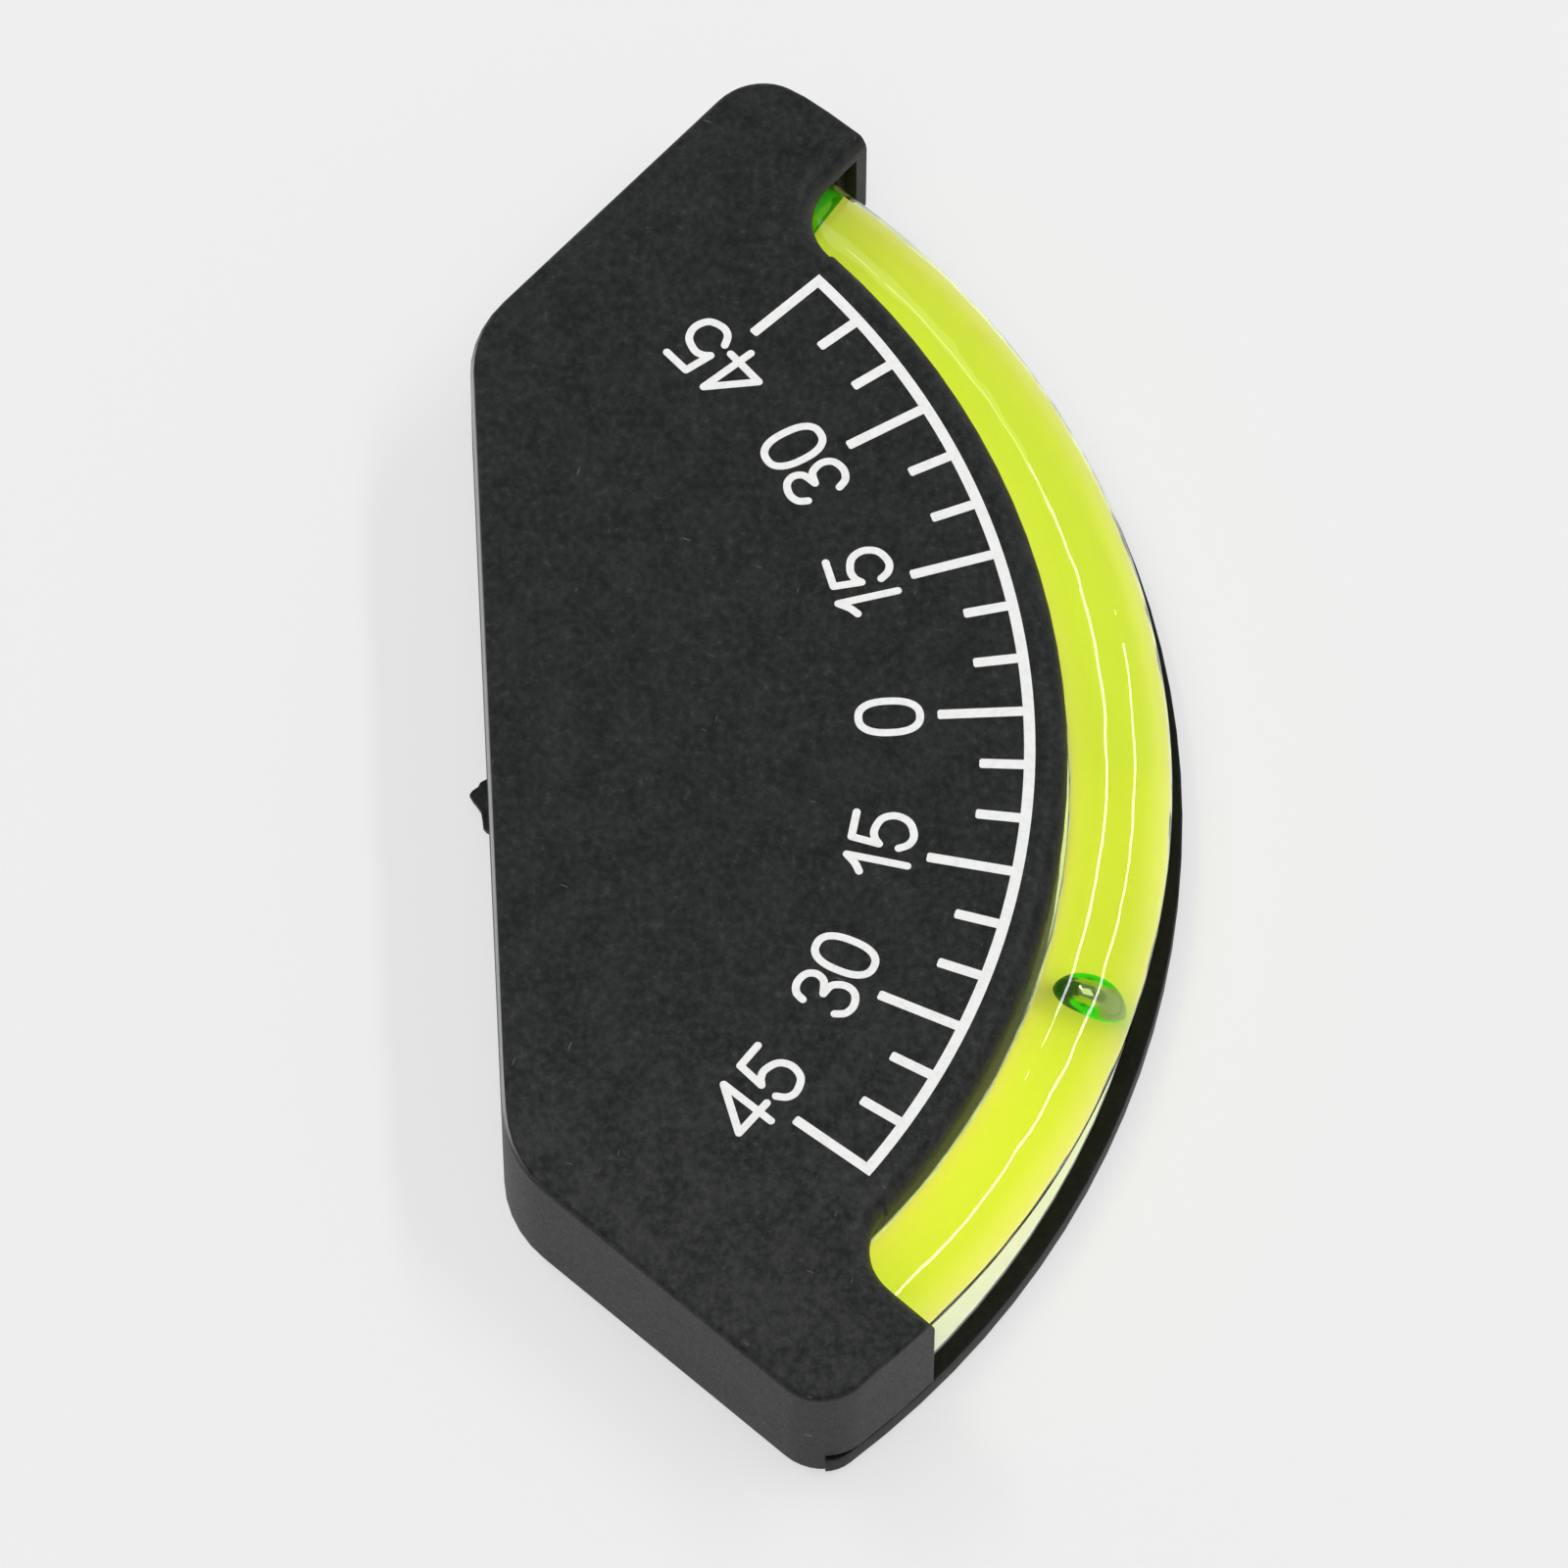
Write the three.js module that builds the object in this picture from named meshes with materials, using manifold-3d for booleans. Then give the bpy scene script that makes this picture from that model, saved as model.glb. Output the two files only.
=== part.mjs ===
// Ball inclinometer with a curved liquid-filled vial, lying on its back.
// Millimetres. X runs to the right and Y up as the dial is read, Z rises out of its face.
// The origin is under the middle of the part, on the surface that it lies on.

import * as THREE from 'three';
import { mergeVertices } from 'three/addons/utils/BufferGeometryUtils.js';
import Module from 'manifold-3d';

// Vial and ball; the vial is bent round a centre a little below the centre of the dial's arc
const VIAL_ARC_RADIUS = 59.5;
const VIAL_CENTRE_DROP = 3.92;
const VIAL_DIAMETER = 7.5;
const VIAL_WALL = 1.5;
const VIAL_HALF_ANGLE = 50.6;
const BALL_DIAMETER = 3.175;
const BALL_WALL_GAP = 0.11;
const BALL_REST_ANGLE = -20.1;
const BALL_LEAN_ANGLE = 10;
const FLUID_GAP = 0.25;

// Plugs and seals in the ends of the vial
const PLUG_DEPTH = 2.35;
const PLUG_CHAMFER = 0.4;
const PLUG_SOCKET_DIAMETER = 1.8;
const PLUG_SOCKET_DEPTH = 1.3;
const SEAL_DIAMETER = 6.4;
const SEAL_THICKNESS = 0.6;
const SEAL_EDGE = 0.15;

// Running and seating gaps
const SEAT_GAP = 0.3;
const OVERRUN = 1;
const OVERRUN_ANGLE = 1;

// Housing, a moulded shell open at the back
const SKIN = 2;
const STRAIGHT_WALL = 2;
const LOBE_WALL = 1.1;
const DIAL_RADIUS = 68.05;
const FLAT_OFFSET = 17.6;
const DIAGONAL_OFFSET = 11.618;
const DIAGONAL_ANGLE = 45;
const CORNER_RADIUS = 8.9;
const APEX_RADIUS = 4;
const FACE_EDGE = 0.5;
const BAND_WIDTH = 4.95;
const BAND_DROP = 1;
const HEADROOM = 0.5;

// Slot in the face that shows the vial, and the lobes that hood its ends
const SLOT_DEPTH = 8.53;
const SLOT_EDGE = 1.7;
const LOBE_ANGLE = 45.75;
const LOBE_FILLET = 4.6;
const POCKET_STEP = 0.2;
const POCKET_ANGLE = 41.4;
const RELIEF_LENGTH = 7;
const RELIEF_RISE = 0.8;

// Channel rib beside the vial, and the saddles that hold its ends
const RIB_GAP = 0.37;
const RIB_THICKNESS = 1.5;
const SADDLE_SETBACK = 0.8;
const SADDLE_THICKNESS = 1.3;
const CRADLE_HEIGHT = 1.1;

// Bosses under the face and the pins of the back plate in them
const BOSS_DIAMETER = 4;
const BOSS_BORE = 2.6;
const PIN_LENGTH = 3.9;
const PIN_CHAMFER = 0.3;
const LOBE_BOSS_ARC_INSET = 4.25;
const LOBE_BOSS_END_OFFSET = 3.45;
const INNER_BOSS_SLOT_INSET = 5.6;
const INNER_BOSS_WALL_INSET = 4.92;
const GUSSET_THICKNESS = 1;
const LOCATOR_DIAMETER = 3.2;
const LOCATOR_OFFSET = -5.15;
const LOCATOR_FLAT_INSET = 11.37;
const LOCATOR_LENGTH = 6.6;

// Gate vestige on the long flat wall
const GATE_REACH = 1.3;
const GATE_WIDTH = 4.4;
const GATE_THICKNESS = 0.4;
const GATE_LIFT = 0.9;
const GATE_CENTRE = -0.25;
const GATE_OUTLINE_SHARES = [
  [-0.5, 0],
  [-0.47, 0.16],
  [-0.4, 0.32],
  [-0.26, 0.34],
  [-0.1, 0.4],
  [0.02, 0.62],
  [0.1, 0.81],
  [0.22, 1],
  [0.29, 0.84],
  [0.36, 0.5],
  [0.44, 0.38],
  [0.5, 0],
];

// Back plate and the reflector strip in its groove
const PLATE_THICKNESS = 1.8;
const PLATE_EDGE = 0.2;
const PLATE_EDGE_STEPS = 2;
const PLATE_RIM_INSET = 0.05;
const PLATE_APEX_RADIUS = 3;
const NOTCH_RISE = 0.08;
const GROOVE_DEPTH = 0.8;
const GROOVE_RIM_WIDTH = 1.45;
const GROOVE_INNER_INSET = 1.02;
const STRIP_THICKNESS = 0.5;
const STRIP_GAP = 0.25;

// Adhesive pads and their liners
const PAD_LENGTH = 25.4;
const PAD_WIDTH = 19.4;
const PAD_THICKNESS = 1;
const PAD_CORNER = 1.5;
const PAD_FACE_INSET = 6.7;
const PAD_SPACING = 42;
const PAD_PROUD = 0.3;
const LINER_THICKNESS = 0.2;

// Fineness of the curves
const ARC_STEP = 3;
const FILLET_STEP = 9;
const EDGE_STEPS = 5;
const VIAL_STEPS = 40;
const VIAL_SIDES = 20;
const FLUID_STEPS = 36;
const FLUID_SIDES = 16;
const SADDLE_STEPS = 2;
const BOSS_SIDES = 20;
const LATHE_SIDES = 20;
const BALL_SIDES = 24;
const BALL_RINGS = 14;

// Heights that follow
const BACK_Z = PAD_PROUD;
const PLATE_TOP_Z = BACK_Z + PLATE_THICKNESS;
const VIAL_AXIS_Z = PLATE_TOP_Z + VIAL_DIAMETER / 2;
const CEILING_Z = PLATE_TOP_Z + VIAL_DIAMETER + HEADROOM;
const FACE_Z = CEILING_Z + SKIN;
const WALL_FOOT_Z = PLATE_TOP_Z + SEAT_GAP;

// Radii that follow about the centre of the dial's arc, then those about the vial's own centre
const SLOT_RADIUS = DIAL_RADIUS - SLOT_DEPTH;
const LOBE_INNER_RADIUS = DIAL_RADIUS - LOBE_WALL;
const VIAL_BORE = VIAL_DIAMETER - 2 * VIAL_WALL;
const RIB_OUTER_RADIUS = VIAL_ARC_RADIUS - VIAL_DIAMETER / 2 - RIB_GAP;
const RIB_INNER_RADIUS = RIB_OUTER_RADIUS - RIB_THICKNESS;
const SPAN = 2 * DIAL_RADIUS;
const ARC_CENTRE_Y = (DIAL_RADIUS + FLAT_OFFSET - GATE_REACH) / 2;

const DEGREE = Math.PI / 180;
const NORMAL = new THREE.Vector2(Math.sin(DIAGONAL_ANGLE * DEGREE), Math.cos(DIAGONAL_ANGLE * DEGREE));
const ALONG = new THREE.Vector2(NORMAL.y, -NORMAL.x);
const DIAL_CENTRE = new THREE.Vector2();
const VIAL_CENTRE = new THREE.Vector2(0, -VIAL_CENTRE_DROP);

const wasm = await Module();
wasm.setup();

// Closed geometry to solid and back.
function solidOf(geometry) {
  const bare = geometry.index ? geometry.toNonIndexed() : geometry.clone();
  bare.deleteAttribute('normal');
  bare.deleteAttribute('uv');
  const merged = mergeVertices(bare);
  const mesh = new wasm.Mesh({
    numProp: 3,
    vertProperties: Float32Array.from(merged.attributes.position.array),
    triVerts: Uint32Array.from(merged.index.array),
  });
  return new wasm.Manifold(mesh);
}

function geometryOf(solid) {
  const mesh = solid.getMesh();
  const geometry = new THREE.BufferGeometry();
  geometry.setAttribute('position', new THREE.BufferAttribute(Float32Array.from(mesh.vertProperties), 3));
  geometry.setIndex(new THREE.BufferAttribute(Uint32Array.from(mesh.triVerts), 1));
  geometry.computeVertexNormals();
  return geometry;
}

// Point at a radius from a centre, its angle measured from the foot of the arc to the right.
function polar(radius, degrees, centre = DIAL_CENTRE) {
  const turn = degrees * DEGREE;
  return new THREE.Vector2(centre.x + radius * Math.sin(turn), centre.y - radius * Math.cos(turn));
}

// Angle about the vial's centre, and about the dial's, of the same point on the vial's axis.
function vialAngle(degrees) {
  const turn = degrees * DEGREE;
  return degrees + Math.asin((VIAL_CENTRE_DROP * Math.sin(turn)) / VIAL_ARC_RADIUS) / DEGREE;
}

function dialAngle(degrees) {
  const place = polar(VIAL_ARC_RADIUS, degrees, VIAL_CENTRE);
  return Math.atan2(place.x, -place.y) / DEGREE;
}

// Point at a radius from the dial's centre and a depth inside the right diagonal side.
function underDiagonal(radius, inset) {
  const reach = DIAGONAL_OFFSET - inset;
  const slide = Math.sqrt(radius * radius - reach * reach);
  return NORMAL.clone().multiplyScalar(reach).addScaledVector(ALONG, slide);
}

// Points of an arc between two plane angles, both ends included.
function arcPoints(centre, radius, from, to, step) {
  const count = Math.max(1, Math.round(Math.abs(to - from) / step));
  const points = [];
  for (let i = 0; i <= count; i += 1) {
    const angle = (from + ((to - from) * i) / count) * DEGREE;
    points.push(new THREE.Vector2(centre.x + radius * Math.cos(angle), centre.y + radius * Math.sin(angle)));
  }
  return points;
}

function planeAngle(point) {
  return Math.atan2(point.y, point.x) / DEGREE;
}

// Closed outline from its right half, the points of its foot and the mirror image of the half.
function symmetric(half, foot = []) {
  const left = half.map((point) => new THREE.Vector2(-point.x, point.y)).reverse();
  return [...half, ...foot, ...left];
}

// Right half of the dial: long flat side, diagonal, rounded corner and apex, and the arc.
function dialHalf({ straightInset, arcRadius, apexRadius, centre = DIAL_CENTRE }) {
  const flat = -(FLAT_OFFSET + straightInset);
  const diagonal = DIAGONAL_OFFSET - straightInset;
  const corner = Math.max(CORNER_RADIUS - straightInset, apexRadius);
  const cornerY = flat - corner;
  const cornerCentre = new THREE.Vector2((diagonal - corner - cornerY * NORMAL.y) / NORMAL.x, cornerY);
  const apexReach = diagonal - apexRadius - centre.dot(NORMAL);
  const apexSlide = Math.sqrt((arcRadius - apexRadius) ** 2 - apexReach ** 2);
  const apex = NORMAL.clone().multiplyScalar(apexReach).addScaledVector(ALONG, apexSlide);
  const apexCentre = apex.clone().add(centre);
  return [
    ...arcPoints(cornerCentre, corner, 90, planeAngle(NORMAL), FILLET_STEP),
    ...arcPoints(apexCentre, apexRadius, planeAngle(NORMAL), planeAngle(apex), FILLET_STEP),
    ...arcPoints(centre, arcRadius, planeAngle(apex), -90, ARC_STEP).slice(1, -1),
  ];
}

function dialOutline(sizes) {
  const centre = sizes.centre ?? DIAL_CENTRE;
  return symmetric(dialHalf(sizes), [polar(sizes.arcRadius, 0, centre)]);
}

// Upright prism between two levels, with its upper edge rounded.
function prismGeometry(points, bottom, top, edge) {
  const options = { depth: top - bottom, bevelEnabled: false };
  if (edge > 0) {
    options.bevelEnabled = true;
    options.bevelThickness = edge;
    options.bevelSize = edge;
    options.bevelOffset = -edge;
    options.bevelSegments = EDGE_STEPS;
  }
  const geometry = new THREE.ExtrudeGeometry(new THREE.Shape(points), options);
  geometry.translate(0, 0, bottom - edge);
  return geometry;
}

function slabBelow(level) {
  const slab = new THREE.BoxGeometry(2 * SPAN, 2 * SPAN, SPAN);
  slab.translate(0, 0, level - SPAN / 2);
  return solidOf(slab);
}

function prism(points, bottom, top, edge = 0) {
  const solid = solidOf(prismGeometry(points, bottom, top, edge));
  return edge > 0 ? solid.subtract(slabBelow(bottom)) : solid;
}

// Prism whose top falls away towards each diagonal side, as the bands on the face do.
function bandedPrism(points, bottom, top, edge = 0) {
  const slope = BAND_DROP / BAND_WIDTH;
  const line = DIAGONAL_OFFSET - BAND_WIDTH;
  let solid = prism(points, bottom, top, edge);
  for (const side of [-1, 1]) {
    const tilt = new THREE.Matrix4().makeShear(0, -slope * side * NORMAL.x, 0, -slope * NORMAL.y, 0, 0);
    tilt.setPosition(0, 0, slope * line);
    const tilted = prismGeometry(points, bottom - SPAN, top, edge);
    tilted.applyMatrix4(tilt);
    solid = solid.intersect(solidOf(tilted));
  }
  return solid;
}

// Arc that the vial follows, between two angles from its foot.
class VialArc extends THREE.Curve {
  constructor(from, to) {
    super();
    this.from = from;
    this.to = to;
  }

  getPoint(share, target = new THREE.Vector3()) {
    const place = polar(VIAL_ARC_RADIUS, this.from + (this.to - this.from) * share, VIAL_CENTRE);
    return target.set(place.x, place.y, VIAL_AXIS_Z);
  }
}

function circlePoints(radius, sides) {
  const points = [];
  for (let i = 0; i < sides; i += 1) {
    const angle = (2 * Math.PI * (i + 0.5)) / sides;
    points.push(new THREE.Vector2(radius * Math.cos(angle), radius * Math.sin(angle)));
  }
  return points;
}

// Round rod or tube that follows the vial's arc.
function arcRod({ radius, bore, from, to, sides, steps }) {
  const shape = new THREE.Shape(circlePoints(radius, sides));
  if (bore) {
    shape.holes.push(new THREE.Path(circlePoints(bore, sides)));
  }
  return new THREE.ExtrudeGeometry(shape, { steps, bevelEnabled: false, extrudePath: new VialArc(from, to) });
}

// Upright cylinder at a place in the dial, chamfered at its top.
function post(place, diameter, bottom, top, chamfer = 0) {
  const radius = diameter / 2;
  const profile = [
    new THREE.Vector2(0, bottom),
    new THREE.Vector2(radius, bottom),
    new THREE.Vector2(radius, top - chamfer),
  ];
  if (chamfer > 0) {
    profile.push(new THREE.Vector2(radius - chamfer, top));
  }
  profile.push(new THREE.Vector2(0, top));
  const geometry = new THREE.LatheGeometry(profile, BOSS_SIDES);
  geometry.rotateX(Math.PI / 2);
  geometry.translate(place.x, place.y, 0);
  return solidOf(geometry);
}

// Sector block about the vial's centre between two radii and two angles, on one side.
function sector(side, inner, outer, from, to, bottom, top) {
  const lower = arcPoints(VIAL_CENTRE, outer, from - 90, to - 90, ARC_STEP);
  const upper = arcPoints(VIAL_CENTRE, inner, to - 90, from - 90, ARC_STEP);
  const points = [...lower, ...upper].map((point) => new THREE.Vector2(side * point.x, point.y));
  return prism(points, bottom, top);
}

function both(point) {
  return [point, new THREE.Vector2(-point.x, point.y)];
}

const lobeBossRadius = DIAL_RADIUS - LOBE_BOSS_ARC_INSET;
const lobeBossTurn = Math.asin(LOBE_BOSS_END_OFFSET / lobeBossRadius) / DEGREE;
const lobeBoss = polar(lobeBossRadius, dialAngle(VIAL_HALF_ANGLE) + lobeBossTurn);
const innerBoss = underDiagonal(SLOT_RADIUS - INNER_BOSS_SLOT_INSET, INNER_BOSS_WALL_INSET);
const bossPlaces = [...both(lobeBoss), ...both(innerBoss)];
const locatorPlace = new THREE.Vector2(LOCATOR_OFFSET, -(FLAT_OFFSET + LOCATOR_FLAT_INSET));
const notchY = underDiagonal(DIAL_RADIUS - APEX_RADIUS, APEX_RADIUS).y + NOTCH_RISE;

// Angles that a length along the vial's arc spans.
function spanAngle(length) {
  return length / VIAL_ARC_RADIUS / DEGREE;
}

const saddleFrom = vialAngle(LOBE_ANGLE) + spanAngle(SADDLE_SETBACK);
const saddleTo = saddleFrom + spanAngle(SADDLE_THICKNESS);
const centreShift = VIAL_CENTRE_DROP * Math.cos(LOBE_ANGLE * DEGREE);

// Room that the vial's ends need in the lobes and in the plate.
function vialRoom(side, from, to) {
  const rod = {
    radius: VIAL_DIAMETER / 2 + SEAT_GAP,
    from: side * from,
    to: side * to,
    sides: VIAL_SIDES,
    steps: SADDLE_STEPS,
  };
  return solidOf(arcRod(rod));
}

// All of the face but the slot, far beyond the housing on its other sides.
function slotOutline() {
  const pocket = SLOT_RADIUS - POCKET_STEP;
  const filletRadius = pocket + LOBE_FILLET;
  const filletAngle = LOBE_ANGLE - Math.asin(LOBE_FILLET / filletRadius) / DEGREE;
  const filletCentre = polar(filletRadius, filletAngle);
  const arc = arcPoints(DIAL_CENTRE, SLOT_RADIUS, POCKET_ANGLE - 90, -90, ARC_STEP);
  const half = [
    new THREE.Vector2(SPAN, SPAN),
    polar(SPAN, LOBE_ANGLE),
    ...arcPoints(filletCentre, LOBE_FILLET, LOBE_ANGLE, filletAngle + 90, FILLET_STEP),
    ...arc.slice(0, -1),
  ];
  return symmetric(half, [polar(SLOT_RADIUS, 0)]);
}

// Space under the walls that the back plate fills, open past the arc.
function plateRoomOutline() {
  const inset = STRAIGHT_WALL;
  const half = dialHalf({ straightInset: inset, arcRadius: DIAL_RADIUS, apexRadius: APEX_RADIUS });
  const reach = DIAGONAL_OFFSET - inset;
  const turn = new THREE.Vector2((reach - notchY * NORMAL.y) / NORMAL.x, notchY);
  const corner = half.filter((point) => point.y > notchY && point.dot(ALONG) < turn.dot(ALONG));
  return symmetric([...corner, turn, new THREE.Vector2(SPAN, notchY), new THREE.Vector2(SPAN, -SPAN)]);
}

// Wedge-shaped relief under the outer wall of each lobe, deepest beside the notch.
function wallReliefs() {
  const shape = new THREE.Shape([
    new THREE.Vector2(notchY, WALL_FOOT_Z - OVERRUN),
    new THREE.Vector2(notchY, WALL_FOOT_Z + RELIEF_RISE),
    new THREE.Vector2(notchY - RELIEF_LENGTH, WALL_FOOT_Z),
    new THREE.Vector2(notchY - RELIEF_LENGTH, WALL_FOOT_Z - OVERRUN),
  ]);
  const wedge = new THREE.ExtrudeGeometry(shape, { depth: 2 * SPAN, bevelEnabled: false });
  wedge.rotateX(Math.PI / 2);
  wedge.rotateZ(Math.PI / 2);
  wedge.translate(SPAN, 0, 0);
  const disc = arcPoints(DIAL_CENTRE, LOBE_INNER_RADIUS, 0, 360, ARC_STEP).slice(1);
  return solidOf(wedge).subtract(prism(disc, BACK_Z - OVERRUN, FACE_Z));
}

// Front housing
function frontHousing() {
  const outline = dialOutline({ straightInset: 0, arcRadius: DIAL_RADIUS, apexRadius: APEX_RADIUS });
  let body = bandedPrism(outline, BACK_Z, FACE_Z, FACE_EDGE);
  body = body.intersect(prism(slotOutline(), BACK_Z - OVERRUN, FACE_Z, SLOT_EDGE));

  const cavity = dialOutline({
    straightInset: STRAIGHT_WALL,
    arcRadius: RIB_INNER_RADIUS,
    apexRadius: RIB_THICKNESS,
    centre: VIAL_CENTRE,
  });
  body = body.subtract(bandedPrism(cavity, BACK_Z - OVERRUN, CEILING_Z));

  const channel = dialOutline({
    straightInset: STRAIGHT_WALL,
    arcRadius: LOBE_INNER_RADIUS,
    apexRadius: APEX_RADIUS - LOBE_WALL,
  });
  const disc = arcPoints(VIAL_CENTRE, RIB_OUTER_RADIUS, 0, 360, ARC_STEP).slice(1);
  const inside = prism(disc, BACK_Z - 2 * OVERRUN, FACE_Z);
  body = body.subtract(bandedPrism(channel, BACK_Z - OVERRUN, CEILING_Z).subtract(inside));

  for (const side of [-1, 1]) {
    const block = sector(
      side,
      RIB_OUTER_RADIUS - RIB_THICKNESS / 2,
      DIAL_RADIUS - centreShift - LOBE_WALL / 2,
      saddleFrom,
      saddleTo,
      PLATE_TOP_Z + CRADLE_HEIGHT + SEAT_GAP,
      CEILING_Z + SKIN / 2,
    );
    body = body.add(block).subtract(vialRoom(side, saddleFrom - OVERRUN_ANGLE, saddleTo + OVERRUN_ANGLE));
  }

  for (const place of bossPlaces) {
    body = body.add(post(place, BOSS_DIAMETER, WALL_FOOT_Z, CEILING_Z + SKIN / 4));
    body = body.add(gusset(place));
  }
  for (const place of bossPlaces) {
    const top = PLATE_TOP_Z + PIN_LENGTH + SEAT_GAP;
    body = body.subtract(post(place, BOSS_BORE, WALL_FOOT_Z - OVERRUN, top));
  }
  const locatorFoot = CEILING_Z - LOCATOR_LENGTH;
  body = body.add(post(locatorPlace, LOCATOR_DIAMETER, locatorFoot, CEILING_Z + SKIN / 4));

  const room = prism(plateRoomOutline(), BACK_Z - OVERRUN, WALL_FOOT_Z);
  return body.subtract(room).subtract(wallReliefs()).add(gateVestige());
}

// Web that ties a boss to the diagonal wall beside it.
function gusset(place) {
  const side = Math.sign(place.x);
  const reach = DIAGONAL_OFFSET - STRAIGHT_WALL / 2;
  const start = new THREE.Vector2(Math.abs(place.x), place.y);
  const length = reach - start.dot(NORMAL);
  const bore = BOSS_BORE / 2 + (BOSS_DIAMETER - BOSS_BORE) / 4;
  const web = new THREE.BoxGeometry(GUSSET_THICKNESS, length - bore, CEILING_Z - WALL_FOOT_Z);
  web.translate(0, bore + (length - bore) / 2, (CEILING_Z + WALL_FOOT_Z) / 2);
  web.rotateZ(-side * DIAGONAL_ANGLE * DEGREE);
  web.translate(place.x, place.y, 0);
  return solidOf(web);
}

function gateVestige() {
  const points = GATE_OUTLINE_SHARES.map(([across, out]) => {
    return new THREE.Vector2(GATE_CENTRE + across * GATE_WIDTH, -FLAT_OFFSET + out * GATE_REACH);
  });
  points.push(new THREE.Vector2(GATE_CENTRE + GATE_WIDTH / 2, -FLAT_OFFSET - STRAIGHT_WALL / 2));
  points.push(new THREE.Vector2(GATE_CENTRE - GATE_WIDTH / 2, -FLAT_OFFSET - STRAIGHT_WALL / 2));
  return prism(points, BACK_Z + GATE_LIFT, BACK_Z + GATE_LIFT + GATE_THICKNESS);
}

// Back plate: let in between the straight walls, its rim bare along the arc, its ends against the notches.
function plateOutline() {
  const inset = STRAIGHT_WALL + SEAT_GAP;
  const rim = DIAL_RADIUS - PLATE_RIM_INSET;
  const half = dialHalf({ straightInset: inset, arcRadius: rim, apexRadius: APEX_RADIUS });
  const reach = DIAGONAL_OFFSET - inset;
  const turn = new THREE.Vector2((reach - notchY * NORMAL.y) / NORMAL.x, notchY);
  const corner = half.filter((point) => point.y > notchY && point.dot(ALONG) < turn.dot(ALONG));
  const apexCentre = underDiagonal(DIAL_RADIUS - PLATE_APEX_RADIUS, PLATE_APEX_RADIUS);
  const apexRadius = PLATE_APEX_RADIUS - PLATE_RIM_INSET;
  const from = Math.asin((notchY - apexCentre.y) / apexRadius) / DEGREE;
  const foot = arcPoints(DIAL_CENTRE, rim, planeAngle(apexCentre), -90, ARC_STEP);
  const right = [
    ...corner,
    turn,
    ...arcPoints(apexCentre, apexRadius, from, planeAngle(apexCentre), FILLET_STEP),
    ...foot.slice(1, -1),
  ];
  return symmetric(right, [polar(rim, 0)]);
}

const grooveOuter = DIAL_RADIUS - GROOVE_RIM_WIDTH;
const grooveInner = SLOT_RADIUS - GROOVE_INNER_INSET;
const grooveAngle = LOBE_ANGLE + spanAngle(SEAT_GAP);
const grooveFloor = PLATE_TOP_Z - GROOVE_DEPTH;

function backPlate() {
  const outline = new THREE.Shape(plateOutline());
  const rounded = new THREE.ExtrudeGeometry(outline, {
    depth: PLATE_THICKNESS - 2 * PLATE_EDGE,
    bevelEnabled: true,
    bevelThickness: PLATE_EDGE,
    bevelSize: PLATE_EDGE,
    bevelOffset: -PLATE_EDGE,
    bevelSegments: PLATE_EDGE_STEPS,
  });
  rounded.translate(0, 0, BACK_Z + PLATE_EDGE);
  let plate = solidOf(rounded);
  for (const place of bossPlaces) {
    const foot = PLATE_TOP_Z - PLATE_THICKNESS / 2;
    const diameter = BOSS_BORE - 2 * SEAT_GAP;
    plate = plate.add(post(place, diameter, foot, PLATE_TOP_Z + PIN_LENGTH, PIN_CHAMFER));
  }
  for (const side of [-1, 1]) {
    const cradle = sector(
      side,
      RIB_OUTER_RADIUS + SEAT_GAP,
      LOBE_INNER_RADIUS - centreShift - 2 * SEAT_GAP,
      saddleFrom,
      saddleTo,
      PLATE_TOP_Z - PLATE_THICKNESS / 2,
      PLATE_TOP_Z + CRADLE_HEIGHT,
    );
    plate = plate.add(cradle).subtract(vialRoom(side, saddleFrom - OVERRUN_ANGLE, saddleTo + OVERRUN_ANGLE));
    const recess = roundedBox(PAD_LENGTH + 2 * SEAT_GAP, PAD_WIDTH + 2 * SEAT_GAP, PAD_CORNER + SEAT_GAP);
    const hollow = prism(recess, BACK_Z - OVERRUN, padTop);
    plate = plate.subtract(hollow.translate([side * padX, padY, 0]));
  }
  const groove = arcBand(grooveInner, grooveOuter, grooveAngle);
  return plate.subtract(prism(groove, grooveFloor, PLATE_TOP_Z + OVERRUN));
}

// Band between two radii, as far to each side as an angle.
function arcBand(inner, outer, angle) {
  const lower = arcPoints(DIAL_CENTRE, outer, -90 - angle, -90 + angle, ARC_STEP);
  const upper = arcPoints(DIAL_CENTRE, inner, -90 + angle, -90 - angle, ARC_STEP);
  return [...lower, ...upper];
}

function roundedBox(length, width, corner) {
  const x = length / 2 - corner;
  const y = width / 2 - corner;
  return [
    ...arcPoints(new THREE.Vector2(x, y), corner, 0, 90, 2 * FILLET_STEP),
    ...arcPoints(new THREE.Vector2(-x, y), corner, 90, 180, 2 * FILLET_STEP),
    ...arcPoints(new THREE.Vector2(-x, -y), corner, 180, 270, 2 * FILLET_STEP),
    ...arcPoints(new THREE.Vector2(x, -y), corner, 270, 360, 2 * FILLET_STEP),
  ];
}

const padTop = LINER_THICKNESS + PAD_THICKNESS;
const padX = PAD_SPACING / 2;
const padY = -(FLAT_OFFSET + PAD_FACE_INSET + PAD_WIDTH / 2);

function layer(thickness) {
  const geometry = prismGeometry(roundedBox(PAD_LENGTH, PAD_WIDTH, PAD_CORNER), 0, thickness, 0);
  return geometryOf(solidOf(geometry));
}

function reflectorStrip() {
  const angle = grooveAngle - spanAngle(STRIP_GAP);
  const band = arcBand(grooveInner + STRIP_GAP, grooveOuter - STRIP_GAP, angle);
  return geometryOf(prism(band, grooveFloor, grooveFloor + STRIP_THICKNESS));
}

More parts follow.
